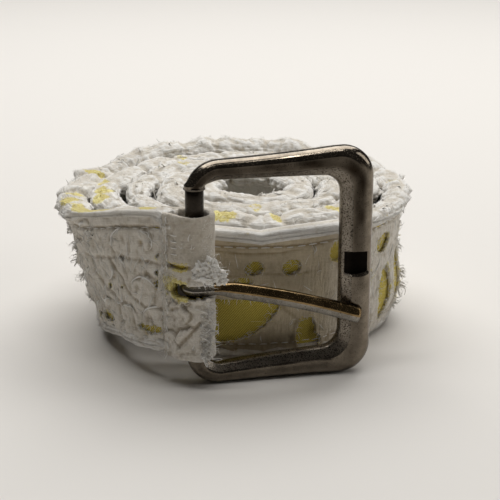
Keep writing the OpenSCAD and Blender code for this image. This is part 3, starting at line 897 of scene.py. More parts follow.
def surface_threads(name, start, stop, count, seed):
    """Loose threads that lie on the slashed face, mostly upright or in hooks."""
    rng = np.random.default_rng(seed)
    t = np.linspace(0, 1, 10)
    s0, z0 = rng.uniform(start, stop, count), rng.uniform(4, WIDTH - 7, count)
    upright = rng.random(count) < 0.6
    heading = np.radians(np.where(upright, rng.normal(90, 22, count), rng.uniform(0, 180, count)))
    turn = rng.normal(0, 1.5, count) * (rng.random(count) < 0.5)
    long = rng.uniform(1.6, 6.0, count)
    way = heading[:, None] + turn[:, None] * t[None]
    s = s0[:, None] + np.cumsum(np.cos(way), 1) * long[:, None] / 10
    z = np.clip(z0[:, None] + np.cumsum(np.sin(way), 1) * long[:, None] / 10, 2.5, WIDTH - 4)
    clear = cut_share(s, z).max(1) < -0.1
    s, z, s0, z0, long = (v[clear] for v in (s, z, s0, z0, long))
    count = len(s)
    o = 1.78 + face_relief(s, z) + rng.uniform(0.0, 0.10, count)[:, None]
    o = o + (rng.random(count) < 0.25)[:, None] * rng.uniform(0.2, 0.9, count)[:, None] * t[None] ** 2
    thin = rng.uniform(0.05, 0.13, count)[:, None] * np.sin(0.3 + t * (np.pi - 0.6))[None]
    return tubes(name, strap_point(u_at(s), o, z), thin, FIBRE, sides=4, data=cloth_data(s0, z0))


def tufts(name, places, seed):
    """Frayed clumps that stick out of the slashed face at (s, z), by a reach in millimetres."""
    rng = np.random.default_rng(seed)
    s, z, reach = (np.repeat([p[k] for p in places], 26) for k in range(3))
    n = len(s)
    long = reach * rng.uniform(0.4, 1.1, n)
    wide = rng.choice([0.07, 0.09, 0.28], n)
    return strands(name, s + rng.normal(0, 0.7, n), z + rng.normal(0, 0.6, n), np.full(n, 1.6),
                   rng.normal(0, 0.45, n) * long, rng.normal(-0.1, 0.35, n) * long,
                   long * rng.uniform(0.5, 1, n), wide, FIBRE, np.zeros(n),
                   rings=6, flat=0.35, sides=4, droop=0.4)


# ---------------------------------------------------------------- build the strap

SIZE = 0.42
LENGTHS = {"outer": (s_at(END_U) - 2.6, OUTER_END), "coil": (OUTER_END, STRAP_LENGTH)}
COARSE = 1.1
STITCH_INSET = 5.2
# Outer and inner surface of a flat layer, from the middle of the strap
CANVAS_SIDES = (0.95, -0.5)
LINING_SIDES = (-0.7, -1.8)


def with_node(piece, body, nodes):
    """Says which body carries a piece, which CAD nodes it replaces."""
    if body == "both":
        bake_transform(piece)
    else:
        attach(piece, body)
    if nodes:
        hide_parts(*nodes)
    return piece


start, stop = LENGTHS["outer"]
outer_face, outer_roots = face_piece("face_cloth_outer", start, stop, SIZE)
with_node(outer_face, "both", ["face_end"])
outer_canvas = flat_layer("canvas_outer", start, stop, 0.9, *CANVAS_SIDES, CANVAS, 0.16)
with_node(outer_canvas, "both", ["canvas_end"])
outer_lining = flat_layer("lining_outer", start, stop, 0.9, *LINING_SIDES, LINING, 0.22)
with_node(outer_lining, "both", ["lining_end"])
with_node(edge_frays("face_frays_outer", outer_roots, 0.5, FIBRE, 31), "both", [])
lipped = [p for p in PETALS if start + 5 < p[0] < stop - 5]
with_node(petal_lips("petal_lips_outer", lipped, 32), "both", [])
outer_top, outer_top_shape = edge_roll("top_roll_outer", start, stop, 0.42, True, 41)
with_node(outer_top, "both", ["top_roll_end"])
outer_low, outer_low_shape = edge_roll("bottom_roll_outer", start, stop, 0.5, False, 46)
with_node(outer_low, "both", ["bottom_roll_end"])
with_node(roll_fluff("roll_fluff_outer", outer_top_shape, 800, 51, (0.25, 0.7)), "both", [])
with_node(roll_fluff("roll_shreds_outer", outer_top_shape, 60, 55, (0.9, 2.0), ribbon=True), "both", [])
with_node(roll_fluff("bottom_fluff_outer", outer_low_shape, 300, 52, lowest=-0.4), "both", [])
with_node(stitching("top_stitches_outer", start, stop, WIDTH - STITCH_INSET, 61),
          "both", ["top_stitching_end"])
with_node(stitching("bottom_stitches_outer", start, stop, STITCH_INSET, 62),
          "both", ["bottom_stitching_end"])

with_node(surface_threads("surface_threads_outer", start + 4, stop - 4, 420, 65), "both", [])
SIDE_TUFTS = [(52.8, 23.5, 2.6), (51.5, 20.4, 3.2), (50.6, 15.6, 3.4), (49.8, 30.0, 1.6), (47.0, 10.5, 1.8),
              (33.5, 31.5, 1.3), (62.0, 26.0, 2.0), (70.0, 14.0, 2.2)]
with_node(tufts("side_tufts_outer", SIDE_TUFTS, 66), "both", [])

start, stop = LENGTHS["coil"]
seen_face, seen_roots = face_piece("face_cloth_seen", start, FINE_END, SIZE)
with_node(seen_face, "coil", ["face_coil"])
inner_face, inner_roots = face_piece("face_cloth_inner", FINE_END, stop, 0.9)
with_node(inner_face, "coil", ["face_coil"])
coil_canvas = with_node(flat_layer("canvas_coiled", start, stop, COARSE, *CANVAS_SIDES, CANVAS, 0.16),
                        "coil", ["canvas_coil"])
coil_lining = with_node(flat_layer("lining_coiled", start, stop, COARSE, *LINING_SIDES, LINING, 0.25),
                        "coil", ["lining_coil"])
with_node(edge_frays("face_frays_seen", seen_roots, 0.45, FIBRE, 33), "coil", [])
with_node(edge_frays("face_frays_inner", inner_roots, 0.3, FIBRE, 34), "coil", [])
lipped = [p for p in PETALS if start + 5 < p[0] < FINE_END]
with_node(petal_lips("petal_lips_seen", lipped, 35), "coil", [])
coil_top, coil_top_shape = edge_roll("top_roll_coiled", start, stop, 0.5, True, 41)
with_node(coil_top, "coil", ["top_roll_coil"])
coil_low, coil_low_shape = edge_roll("bottom_roll_coiled", start, stop, 0.8, False, 46, around=22)
with_node(coil_low, "coil", ["bottom_roll_coil"])
with_node(roll_fluff("roll_fluff_coiled", coil_top_shape, 4500, 53, (0.25, 0.7)), "coil", [])
with_node(roll_fluff("roll_shreds_coiled", coil_top_shape, 420, 56, (0.9, 2.0), ribbon=True), "coil", [])
with_node(roll_fluff("bottom_fluff_coiled", coil_low_shape, 700, 54, lowest=-0.4), "coil", [])
with_node(stitching("top_stitches_coiled", start, stop, WIDTH - STITCH_INSET, 63),
          "coil", ["top_stitching_coil"])
with_node(stitching("bottom_stitches_coiled", start, stop, STITCH_INSET, 64),
          "coil", ["bottom_stitching_coil"])

with_node(surface_threads("surface_threads_back", start + 3, 226, 520, 67), "coil", [])
with_node(surface_threads("surface_threads_window", 228, 290, 70, 68), "coil", [])
BACK_TUFTS = [
    (196.5, 9.5, 2.8), (199.0, 14.5, 2.4), (194.5, 20.5, 1.8), (203.5, 6.5, 2.2), (190.0, 27.0, 1.6),
    (180.0, 16.0, 2.0), (160.0, 22.0, 2.2), (145.0, 12.0, 2.0), (128.0, 27.0, 2.0), (112.0, 14.0, 2.2),
]
with_node(tufts("side_tufts_coiled", BACK_TUFTS, 69), "coil", [])


# ---------------------------------------------------------------- chape: cloth folded round the bar

CHAPE_TURN = math.radians(BAR_ANGLE - END_U + 90)
CHAPE_OUT = 5.0
CHAPE_THICK = 1.5
CHAPE_BORDER = 6.9
CHAPE_LOW = END_LIFT + 0.3
CHAPE_HIGH = END_LIFT + WIDTH - 0.6
SLOT = (24.0, 28.1, -5.0)


def turned(points, angle):
    c, n = math.cos(angle), math.sin(angle)
    p = np.asarray(points, float)
    out = p.copy()
    out[..., 0] = c * p[..., 0] - n * p[..., 1]
    out[..., 1] = n * p[..., 0] + c * p[..., 1]
    return out


def at_chape(points):
    out = turned(points, CHAPE_TURN)
    out[..., :2] += BAR
    return out


def at_frame(points):
    out = turned(points, FRAME_YAW)
    out[..., :2] += BAR
    return out


def chape_path():
    """Plan line of the chape's outer surface, in its local frame, from the front border round to the back."""
    root = turned(strap_point(END_U, 0, 0)[None, :2] - BAR, -CHAPE_TURN)[0]
    arc = np.radians(np.linspace(-90, 90, 40))
    front = np.array([[-CHAPE_BORDER - 0.9, root[1] - 2.2], [-CHAPE_BORDER, root[1] - 2.75],
                      [-5.0, root[1] - 3.2], [-2.4, -4.9]])
    back = np.array([[-3.0, 4.6], [-6.0, root[1] + 3.0], [-8.6, root[1] + 2.5], [-9.6, root[1] + 2.3]])
    line = np.concatenate([front, np.stack([CHAPE_OUT * np.cos(arc), CHAPE_OUT * np.sin(arc)], -1), back])
    run = np.concatenate([[0], np.cumsum(np.linalg.norm(np.diff(line, axis=0), axis=1))])
    q = np.linspace(0, run[-1], int(run[-1] / 0.36))
    path = np.stack([np.interp(q, run, line[:, k]) for k in (0, 1)], -1)
    for _ in range(3):
        path[1:-1] = (path[:-2] + 2 * path[1:-1] + path[2:]) / 4
    step = np.gradient(path, axis=0)
    step /= np.linalg.norm(step, axis=1, keepdims=True)
    normal = np.stack([step[:, 1], -step[:, 0]], -1)
    return q, path, normal


q_line, path, normal = chape_path()
z_line = steps(CHAPE_LOW, CHAPE_HIGH, 0.38)
q, z = np.meshgrid(q_line, z_line, indexing="ij")
px, py = (np.repeat(path[:, k:k + 1], len(z_line), 1) for k in (0, 1))
nx, ny = (np.repeat(normal[:, k:k + 1], len(z_line), 1) for k in (0, 1))
relief = 0.30 * fbm(q / 4.5, z / 6, octaves=3, seed=61) + 0.09 * noise(q / 0.9, z / 0.9, seed=62)
relief = relief + 0.35 * (crumple(q / 3.6, z / 4.0, seed=63) - 0.5)
relief = relief * (0.45 + 0.75 * ease((36 - z) / 4))
for item in ((2.4, 39.5, 2.4, 180, 0.5), (5.0, 19.0, 3.2, 60, 0.9), (8.6, 13.5, 3.4, 140, 1.0),
             (3.2, 12.0, 3.0, 100, 0.7)):
    relief = relief + petal(q, z, *item)
relief = relief + crease(q, z, [(3.5, 20.5), (9.0, 23.2)], 0.4, 0.5, 0.3)
relief = relief + crease(q, z, [(6.0, 11.5), (11.5, 18.0)], 0.5, 0.5, 0.35)
slit = crease(q, z, [(2.0, 31.8), (8.8, 32.4)], 0.7, 0.45, 0.25)
relief = relief + slit
round_end = np.sqrt(np.clip(1 - (np.clip((SLOT[2] + 2 - px) / 2, 0, 1)) ** 2, 0, 1))
slot_half = (SLOT[1] - SLOT[0]) / 2
from_slot = np.abs(z - (SLOT[0] + SLOT[1]) / 2) - slot_half * round_end - 0.18 * noise(q, z / 0.7, seed=66)
in_slot = (from_slot < 0) & (px > SLOT[2])
tear = np.minimum(0.75 - np.abs(z - 31.9 - 0.12 * (q - 3)), np.minimum(q - 2.6, 8.2 - q))
tear = tear + 0.35 * noise(q / 0.8, z / 0.8, seed=67)
gone = in_slot | (tear > 0.15)
lift_edge = 0.35 * np.exp(-((np.maximum(from_slot, 0) / 0.8) ** 2)) * (px > SLOT[2] - 1)
taper = ease((q - 0.2) / 1.4) * ease((q.max() - q) / 1.4)
hem = ease((z - CHAPE_LOW + 0.25) / 0.8) * ease((CHAPE_HIGH + 0.25 - z) / 0.8)
outer = (relief + lift_edge) * taper * hem - 0.25 * (1 - hem)
thick = CHAPE_THICK * (0.35 + 0.65 * hem)
wavy = 0.45 * noise(q / 5.0, 0.2, seed=68) * ease((z - 36) / 9)
wavy = wavy + 0.4 * noise(q / 4.0, 3.2, seed=69) * ease((14 - z) / 7)
front = at_chape(np.stack([px + nx * outer, py + ny * outer, z + wavy], -1))
back = at_chape(np.stack([px + nx * (outer - thick), py + ny * (outer - thick), z + wavy], -1))
keep = ~(gone[:-1, :-1] & gone[1:, 1:])
slot_edge = np.exp(-((np.maximum(from_slot, 0) / 0.9) ** 2)) * ease((1.5 - px) / 3)
near_slot = slot_edge * (px > SLOT[2] - 2.0) * (py < 0)
stain = 0.42 * np.clip(1 - np.hypot((q - 4.5) / 2.4, (z - 43.3) / 0.8), 0, 1)
yellow = np.clip(near_slot * 1.1 + np.exp(-((tear / 0.5) ** 2)) * 0.75 * (py < 0) + stain, 0, 1)
# painted shade in the chape's creases and hollows, and darker towards the top
recess_shade_top_dark = np.clip(hollows(relief, 6, 0.2) + hollows(relief, 25, 0.5) + 0.5 * ease((z - 27) / 6), 0, 1)
chape, _ = thick_sheet("chape_fold", front, back, keep, CHAPE, cloth_data(q, z, yellow), recess_shade_top_dark)
with_node(chape, "strap_end", ["chape"])

# yellow canvas that shows in the torn line and round the slot
canvas_keep = ~(in_slot[:-1, :-1] & in_slot[1:, 1:])
core = at_chape(np.stack([px - nx * 0.85, py - ny * 0.85, z], -1))
core_back = at_chape(np.stack([px - nx * 1.35, py - ny * 1.35, z], -1))
span = (slice(3, 40), slice(3, -3))
core_piece, _ = thick_sheet(
    "chape_canvas", core[span], core_back[span], canvas_keep[3:39, 3:-3], CANVAS, cloth_data(q, z)[span])
with_node(core_piece, "strap_end", [])


def chape_strands(name, count, q0, z0, reach, seed, radius=(0.05, 0.11), yellow=0.0, rings=6, curl=0.35,
                  flat=1.0):
    """Loose threads from chape places (q, z); reach gives their mean run along the path, up and outward."""
    rng = np.random.default_rng(seed)
    q_at, z_at = rng.uniform(*q0, count), rng.uniform(*z0, count)
    long = rng.uniform(0.5, 1.3, count)[:, None]
    run = (np.array(reach) + rng.normal(0, 0.55, (count, 3)) * np.linalg.norm(reach)) * long
    t = np.linspace(0, 1, rings)
    length = np.linalg.norm(run, axis=1)[:, None, None]
    bend = np.sin(np.pi * t)[None, :, None] * rng.normal(0, curl, (count, 1, 3)) * length
    local = run[:, None] * t[None, :, None] + bend
    base = np.stack([np.interp(q_at, q_line, path[:, k]) for k in (0, 1)], -1)
    out = np.stack([np.interp(q_at, q_line, normal[:, k]) for k in (0, 1)], -1)
    side = np.stack([-out[:, 1], out[:, 0]], -1)
    above = np.maximum(local[..., 2:], -0.3) + 0.05
    plan = base[:, None] + side[:, None] * local[..., :1] + out[:, None] * above
    points = at_chape(np.concatenate([plan, z_at[:, None, None] + local[..., 1:2]], -1))
    thin = rng.uniform(*radius, count)[:, None] * (1 - 0.5 * t[None])
    shade = np.stack([q_at, z_at, np.full(count, yellow)], -1)
    piece = tubes(name, points, thin, FIBRE, sides=4, data=shade, flat=flat)
    return with_node(piece, "strap_end", [])


q_bar = float(q_line[np.argmax(path[:, 0] > 0)])
q_right = q_bar + 0.42 * math.pi * CHAPE_OUT
# crumpled wad of torn cloth over the prong's root
WAD_AROUND, WAD_DOWN = 52, 30
ring_a, ring_b = np.meshgrid(
    np.linspace(0, 2 * np.pi, WAD_AROUND, endpoint=False), np.linspace(0.02, np.pi - 0.02, WAD_DOWN))
away = np.stack([np.cos(ring_a) * np.sin(ring_b), np.sin(ring_a) * np.sin(ring_b), np.cos(ring_b)], -1)
# Middle and half sizes of each lump
WAD = [
    ((4.0, -4.7, 31.8), (2.2, 1.1, 2.2)), ((6.4, -4.9, 33.3), (1.9, 1.0, 1.9)),
    ((8.2, -4.7, 31.4), (2.0, 0.9, 1.5)), ((6.0, -5.2, 30.6), (2.3, 1.1, 1.4)),
    ((9.2, -4.6, 30.0), (1.2, 0.7, 0.9)), ((2.6, -4.6, 30.2), (1.3, 0.8, 0.9)),
]
lumps, dent_shade = [], []
for k, (middle, radii) in enumerate(WAD):
    swell = 1 + 0.9 * (crumple(*(2.2 * away[..., i] + 9 for i in range(3)), seed=93 + k) - 0.55)
    bumps = noise(*(3.1 * away[..., i] + 20 for i in range(3)), seed=193 + k)
    swell = swell + 0.8 * np.maximum(bumps - 0.15, 0)
    lumps.append((away * swell[..., None] * radii + middle).reshape(-1, 3))
    # painted shade in the dents of each lump
    dent_shade.append(hollows(swell, 5, 0.15, True).ravel())
quads = grid_quads(WAD_DOWN, WAD_AROUND, True)
lumps = np.concatenate(lumps)
wad = make_object(
    "torn_wad", at_chape(lumps),
    [np.concatenate([quads + k * WAD_DOWN * WAD_AROUND for k in range(len(WAD))])], FIBRE,
    data=cloth_data(lumps[:, 0], lumps[:, 2]), painted_shade=np.concatenate(dent_shade))
with_node(wad, "strap_end", [])
chape_strands("raw_edge_ribbons", 90, (q_right - 3.4, q_right - 0.4), (8.4, 23.0), (0.9, -0.3, 0.8), 79,
              radius=(0.14, 0.32), curl=0.5, flat=0.3)
chape_strands("tuft_by_prong", 26, (q_bar + 1.6, q_right + 1.2), (28.4, 32.6), (0.9, 0.1, 0.9), 71,
              radius=(0.16, 0.42), curl=0.6, flat=0.35)
chape_strands("tuft_threads", 160, (q_bar + 1.2, q_right + 1.2), (28.2, 33.0), (1.3, 0.0, 1.1), 78,
              radius=(0.05, 0.1))
chape_strands("raw_edge_frays", 220, (q_right - 3.6, q_right - 0.6), (8.2, 23.6), (1.0, -0.5, 0.9), 72)
chape_strands("upper_edge_frays", 60, (q_right - 3.0, q_right), (33, 44), (0.4, -0.1, 0.35), 73,
              radius=(0.04, 0.07))
chape_strands("seam_frays", 240, (-0.2, 2.6), (8.0, 43.5), (0.1, -1.0, 0.25), 74)
chape_strands("slot_frays", 50, (2.0, 5.6), (28.0, 29.3), (0.2, 0.1, 0.7), 75, yellow=0.85)
chape_strands("slot_end_frays", 30, (1.2, 2.6), (24.0, 28.6), (0.1, 0.2, 0.7), 76, yellow=0.85)
chape_strands("chape_loose_threads", 9, (q_bar - 2.6, q_bar + 2.2), (35.5, 40.5), (0.1, 1.0, 0.1), 84,
              radius=(0.1, 0.19), curl=0.25, flat=0.4)
chape_strands("slot_lower_frays", 60, (3.0, 9.0), (22.6, 23.6), (0.25, 0.15, 0.35), 77)

# seam threads that hold the fold, in place of the tacks
tack_points, tack_radii = [], []
tack_rng = np.random.default_rng(81)
t = np.linspace(0, 1, 7)


def add_tack(q_here, z_here, rest, arch, radii):
    """A short thread over the fold: rest is its depth at the ends, arch how far its middle stands up."""
    x_here = np.interp(q_here, q_line, path[:, 0])
    y_here = np.interp(q_here, q_line, path[:, 1]) - rest - arch * np.sin(np.pi * t)
    tack_points.append(at_chape(np.stack([x_here, y_here, z_here], -1)))
    tack_radii.append(radii)


for z0 in np.arange(9.5, 43, 2.35):
    if SLOT[0] - 1.5 < z0 < SLOT[1] + 1:
        continue
    q_here = 1.7 + tack_rng.normal(0, 0.12) + 0.1 * np.sin(6 * t)
    add_tack(q_here, z0 + 1.75 * t, 0.15, 0.22, 0.2 * np.sin(0.35 + t * (np.pi - 0.7)) ** 0.5)
for z0 in (35.0, 36.6, 38.2, 39.8):
    add_tack(3.4 + 2.2 * t, z0 + 0.3 * t, 0.18, 0.12, np.full(7, 0.13))
tacks = tubes("chape_tack_threads", np.array(tack_points), np.array(tack_radii), FIBRE, sides=6)
with_node(tacks, "strap_end", ["chape_tacks"])


# ---------------------------------------------------------------- buckle frame, bar and prong

END_WIDTH, RAIL_WIDTH, FRONT_WIDTH = 5.1, 7.2, 8.3
FRONT_RADII = (7.8, 4.8)
END_RADII = (8.2, 3.8)
BAR_RADIUS = 2.3
BAR_PRESS = 1.3  # how far the bar is let into each end of the frame
BAR_SIDES = 64
RING_SIDES = 12
NOTCH = {"low": 27.2, "high": 32.8, "depth": -0.75, "from": 37.7, "to": 43.9, "lip": 0.75}
# Section of the frame: share of the width from the outer edge, depth in mm (front is negative)
SECTION = [
    (0.14, 2.2), (0.05, 1.75), (0.008, 1.0), (0.0, 0.2), (0.006, -0.6), (0.03, -1.25), (0.075, -1.8),
    (0.125, -2.15), (0.135, -2.21), (0.20, -2.42), (0.30, -2.58), (0.39, -2.6), (0.48, -2.6),
    (0.58, -2.52), (0.66, -2.40), (0.69, -2.26), (0.76, -1.98), (0.82, -1.72), (0.872, -1.5),
    (0.884, -1.46), (0.93, -1.27), (0.96, -1.02), (0.985, -0.6), (1.0, 0.0), (0.995, 1.0),
    (0.95, 1.8), (0.86, 2.2), (0.5, 2.2),
]


def frame_rings():
    """Outer and inner edge (x, z, x, z) of each ring, from the upper bar end round to the lower."""
    straight = (SEAM_HEIGHT, SEAM_HEIGHT + 0.2, SEAM_HEIGHT + 0.5)
    rings = [(-END_WIDTH / 2, z, END_WIDTH / 2, z) for z in straight]
    out, inn = END_RADII
    top = FRAME_HEIGHT
    for a in np.radians(np.linspace(180, 90, 26)):
        rings.append((out - END_WIDTH / 2 + out * math.cos(a), top - out + out * math.sin(a),
                      END_WIDTH / 2 + inn + inn * math.cos(a), top - END_WIDTH - inn + inn * math.sin(a)))
    rail_from = (rings[-1][0], rings[-1][2])
    out, inn = FRONT_RADII
    corner = []
    for a in np.radians(np.linspace(90, 0, 30)):
        corner.append((
            FRAME_REACH - out + out * math.cos(a), top - out + out * math.sin(a),
            FRAME_REACH - FRONT_WIDTH - inn + inn * math.cos(a), top - RAIL_WIDTH - inn + inn * math.sin(a)))
    for t in np.linspace(0, 1, 16)[1:-1]:
        wide = lerp(END_WIDTH, RAIL_WIDTH, t)
        sag = 0.25 * math.sin(math.pi * t)
        rings.append((lerp(rail_from[0], corner[0][0], t), top - sag,
                      lerp(rail_from[1], corner[0][2], t), top - wide - sag))
    rings += corner
    start_z, stop_z = corner[-1][1], corner[-1][3]
    for z in np.concatenate([np.arange(46.5, 34.2, -1.0), np.arange(34.0, FRAME_HEIGHT / 2, -0.18)]):
        rings.append((FRAME_REACH, min(z, start_z), FRAME_REACH - FRONT_WIDTH, min(z, stop_z)))
    lower = [(x1, FRAME_HEIGHT - z1, x2, FRAME_HEIGHT - z2) for x1, z1, x2, z2 in reversed(rings)]
    return rings + lower


def spread_section(count):
    """The section's outline resampled evenly, with its crisp facet corner kept."""
    line = np.array(SECTION + SECTION[:1])
    metric = line * (8.0, 1.0)
    run = np.concatenate([[0], np.cumsum(np.linalg.norm(np.diff(metric, axis=0), axis=1))])
    extra = np.linspace(0, run[-1], count, endpoint=False)
    places = np.unique(np.round(np.concatenate([extra, run[:-1]]), 4))
    return np.stack([np.interp(places, run, line[:, k]) for k in (0, 1)], -1)


def shoulder_fall(x, z):
    """How far a point of the upper rail is lowered: most above the bar, none at the front corner."""
    return 2.4 * np.clip(1 - x / 35.5, 0, None) * ease((z - SEAM_HEIGHT) / 4.6)


section = spread_section(64)
rings = np.array(frame_rings())
shape = np.repeat(section[None], len(rings), 0)
from_seam = np.minimum(np.abs(rings[:, 1] - SEAM_HEIGHT), np.abs(rings[:, 1] - FRAME_HEIGHT + SEAM_HEIGHT))
end_share = np.where(rings[:, 0] < 2.5, 1 - ease(from_seam / 8.5), 0)[:, None]
around = np.arctan2(section[:, 1], (section[:, 0] - 0.5) * 5.1)
circle = np.stack([0.5 + 0.5 * np.cos(around), 2.45 * np.sin(around)], -1)
shape = lerp(shape, circle[None], end_share[..., None])
x = lerp(rings[:, :1], rings[:, 2:3], shape[..., 0])
z = lerp(rings[:, 1:2], rings[:, 3:4], shape[..., 0])
y = shape[..., 1].copy()
z = z - shoulder_fall(x, z)
# prong rest: a pocket in the front bar with a straight top, a bowed lower edge and a floor coloured
# near-black as painted shade
across = np.clip((x - NOTCH["from"]) / (NOTCH["to"] - NOTCH["from"]), 0, 1)
bow = NOTCH["lip"] * np.sin(np.pi * across) ** 0.7
inside = (z < NOTCH["high"]) & (z > NOTCH["low"]) & (across > 0) & (across < 1) & (y < 0)
y = np.where(inside, np.maximum(y, NOTCH["depth"]), y)
rim = (z < NOTCH["low"]) & (z > NOTCH["low"] - 0.6) & (across > 0) & (across < 1) & (y < 0)
y = np.where(rim, y - 0.10, y)
z = z - bow * np.clip(1 - np.abs(z - NOTCH["low"]) / 2.4, 0, 1)
worn = 0.06 * noise(x / 2.4, z / 2.4, y / 2.4, seed=91)
y = y + worn * (y < 0)
n, m = x.shape
lids = [np.arange(m)[None, ::-1], (np.arange(m) + (n - 1) * m)[None]]
# painted reflection: a dark band down the middle of the frame's front, stronger towards the top, for dark
# surroundings mirrored in the metal
dark_reflection_band = np.exp(-(((shape[..., 0] - 0.48) / 0.22) ** 4)) * (y < 0) * lerp(0.55, 1.0, ease((z - 22) / 16))
dark_reflection_band = dark_reflection_band * (0.8 + 0.2 * noise(x / 3, z / 3, seed=92))
buckle = make_object(
    "buckle_frame_cast", at_frame(np.stack([x, y, z], -1)), [grid_quads(n, m, True), *lids], NICKEL,
    painted_shade=dark_reflection_band)
buckle.data.materials.append(NOTCH_SHADE)
buckle.data.materials.append(DARKENED_POLISHED)
cut_into = inside.ravel()
quad_list = grid_quads(n, m, True)
flags = cut_into[quad_list].sum(1) >= 3
slots = np.zeros(len(buckle.data.polygons), np.int32)
# the domed front takes the darker polished nickel: painted dark reflection
dome = (shape[..., 0] < 0.665) & (shape[..., 1] < 0.5)
slots[:len(quad_list)] = np.where(flags, 1, np.where(dome.ravel()[quad_list].sum(1) >= 3, 2, 0))
buckle.data.polygons.foreach_set("material_index", slots)
with_node(buckle, "buckle", ["buckle_frame"])

# heel bar with a thin bright shoulder ring where each frame end grips it
profile = [(0.0, 0), (BAR_RADIUS - 0.2, 0), (BAR_RADIUS, 0.2), (BAR_RADIUS, 4.0)]
half = (FRAME_HEIGHT - 2 * (FRAME_HEIGHT - SEAM_HEIGHT - BAR_PRESS)) / 2
rows = [(r, h) for r, h in profile] + [(r, 2 * half - h) for r, h in reversed(profile)]
a = np.linspace(0, 2 * np.pi, BAR_SIDES, endpoint=False)
low = FRAME_HEIGHT / 2 - half
bar_points = np.array([
    [(max(r, 0.001) * math.cos(t), max(r, 0.001) * math.sin(t), low + h) for t in a]
    for r, h in rows])
# the bar is coloured near-black as painted shade
bar = make_object("heel_bar", at_frame(bar_points), [grid_quads(len(rows), BAR_SIDES, True)[:, ::-1]],
                  BAR_SHADE)
with_node(bar, "buckle", ["buckle_bar"])
ring_turn = np.linspace(0, 2 * np.pi, BAR_SIDES, endpoint=False)
ring_side = np.linspace(0, 2 * np.pi, RING_SIDES, endpoint=False)
last = (BAR_SIDES - 1) * RING_SIDES
closing = [[last + k, last + (k + 1) % RING_SIDES, (k + 1) % RING_SIDES, k] for k in range(RING_SIDES)]
ring_quads = np.concatenate([grid_quads(BAR_SIDES, RING_SIDES, True), closing])
for name, z_ring in (("upper_seam_ring", SEAM_HEIGHT), ("lower_seam_ring", FRAME_HEIGHT - SEAM_HEIGHT)):
    a, b = np.meshgrid(ring_turn, ring_side, indexing="ij")
    r = BAR_RADIUS + 0.2 + 0.24 * np.cos(b)
    ring_points = np.stack([r * np.cos(a), r * np.sin(a), z_ring + 0.2 * np.sin(b)], -1)
    seam = make_object(name, at_frame(ring_points), [ring_quads], NICKEL)
    with_node(seam, "buckle", [])

# prong: curled round the bar, shank drooping to a square tip on the front bar
PRONG = {"z": 26.0, "inner": 2.6, "wall": 1.5, "curl": 3.0, "back": 2.9, "shoulder": 5.8, "reach": 41.3,
         "droop": math.tan(math.radians(15.2)), "bow": 0.8}


def prong_rings():
    """Middle of the inner face, outward direction, direction across, width and thickness of each ring."""
    rings = []
    for t in np.linspace(0, 1, 60):
        x = lerp(PRONG["reach"], 1.2, t)
        run = max(0.0, x - PRONG["shoulder"])
        share = run / (PRONG["reach"] - PRONG["shoulder"])
        z = PRONG["z"] - run * PRONG["droop"] + PRONG["bow"] * math.sin(math.pi * share) * (share > 0)
        slope = math.atan(PRONG["droop"] * ease((x - 2.5) / 5))
        across = (math.sin(slope), 0, math.cos(slope))
        wide = lerp(3.1, 4.2, ease((x - 4.6) / 5)) + 0.2 * share
        deep = lerp(1.9, 2.1, share)
        rings.append(((x, -PRONG["back"], z), (0, -1, 0), across, wide, deep))
    for a in np.radians(np.linspace(-92, -330, 40)):
        share = (a - math.radians(-92)) / math.radians(-238)
        out = (math.cos(a), math.sin(a), 0)
        r = lerp(PRONG["back"], PRONG["inner"], ease(share * 3))
        wide = lerp(3.0, 2.7, share)
        deep = lerp(1.9, 1.25, ease(share * 2.5))
        rings.append(((r * out[0], r * out[1], PRONG["z"]), out, (0, 0, 1), wide, deep))
    return rings


v = np.concatenate([np.linspace(1, -1, 17), np.linspace(-0.86, 0.86, 8)])
crown = 1.04 - 0.46 * np.sqrt(v[:17] ** 2 + 0.012) - 0.12 * np.abs(v[:17]) ** 6
crown[[0, 16]] = 0.12
crown = np.concatenate([crown, np.full(8, 0.0)])
prong_points = []
for k, (mid, out, across, wide, deep) in enumerate(prong_rings()):
    tip = min(1.0, 0.95 + k * 0.05)
    mid, out, across = map(np.array, (mid, out, across))
    prong_points.append(mid + across * (v * wide / 2 * tip)[:, None] + out * (crown * deep * tip)[:, None])
prong_points = np.array(prong_points)
n, m = prong_points.shape[:2]
lids = [np.arange(m)[None], (np.arange(m) + (n - 1) * m)[None, ::-1]]
prong = make_object("prong_shaped", at_frame(prong_points), [grid_quads(n, m, True)[:, ::-1], *lids], BRONZED)
prong.data.materials.append(LIT_NICKEL)
quad_list = grid_quads(n, m, True)
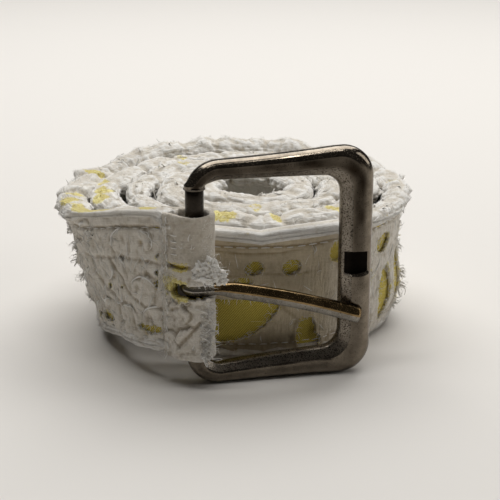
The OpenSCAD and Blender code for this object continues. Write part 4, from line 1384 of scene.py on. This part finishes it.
# the lower side and the curl in the slot take the lighter nickel as painted light; the upper side keeps the
# darker bronze
lower_side = (quad_list % m).min(1) >= 9
in_slot = (quad_list // m).min(1) > 54
slots = np.zeros(len(prong.data.polygons), np.int32)
slots[:len(quad_list)] = lower_side | in_slot
prong.data.polygons.foreach_set("material_index", slots)
with_node(prong, "prong", ["prong"])


# ---------------------------------------------------------------- stage

floor_look = Tree("pale_floor")
floor_look.shader["Base Color"].default_value = (0.70, 0.675, 0.64, 1)
floor_look.shader["Roughness"].default_value = 0.85
mesh = bpy.data.meshes.new("floor")
SIDE = 4.0
mesh.from_pydata([(-SIDE, -SIDE, 0), (SIDE, -SIDE, 0), (SIDE, SIDE, 0), (-SIDE, SIDE, 0)], [], [(0, 1, 2, 3)])
floor = bpy.data.objects.new("floor", mesh)
bpy.context.scene.collection.objects.link(floor)
floor.data.materials.append(floor_look.material)


def area_light(name, place, target, size, power, colour=(1, 1, 1)):
    light = bpy.data.lights.new(name, "AREA")
    light.shape = "RECTANGLE"
    light.size, light.size_y = size
    light.energy = power
    light.color = colour
    obj = bpy.data.objects.new(name, light)
    obj.location = place
    obj.rotation_mode = "QUATERNION"
    obj.rotation_quaternion = (Vector(target) - Vector(place)).to_track_quat("-Z", "Y")
    bpy.context.scene.collection.objects.link(obj)
    return obj


area_light("overhead", (0.02, 0.50, 0.80), (0, 0.03, 0.02), (1.2, 0.8), 11.5, (1.0, 0.995, 0.985))
area_light("top_strip", (0.0, -0.16, 0.85), (0, -0.05, 0.02), (0.6, 0.05), 1.7, (1.0, 0.99, 0.97))
area_light("right_fill", (0.75, -0.05, 0.35), (0.03, 0, 0.03), (0.4, 0.4), 1.1, (1.0, 0.99, 0.97))

world = bpy.data.worlds.new("studio")
bpy.context.scene.world = world
world.use_nodes = True
world.node_tree.nodes["Background"].inputs["Color"].default_value = (1.0, 0.96, 0.90, 1)
world.node_tree.nodes["Background"].inputs["Strength"].default_value = 0.045
bpy.context.scene.view_settings.view_transform = "Standard"
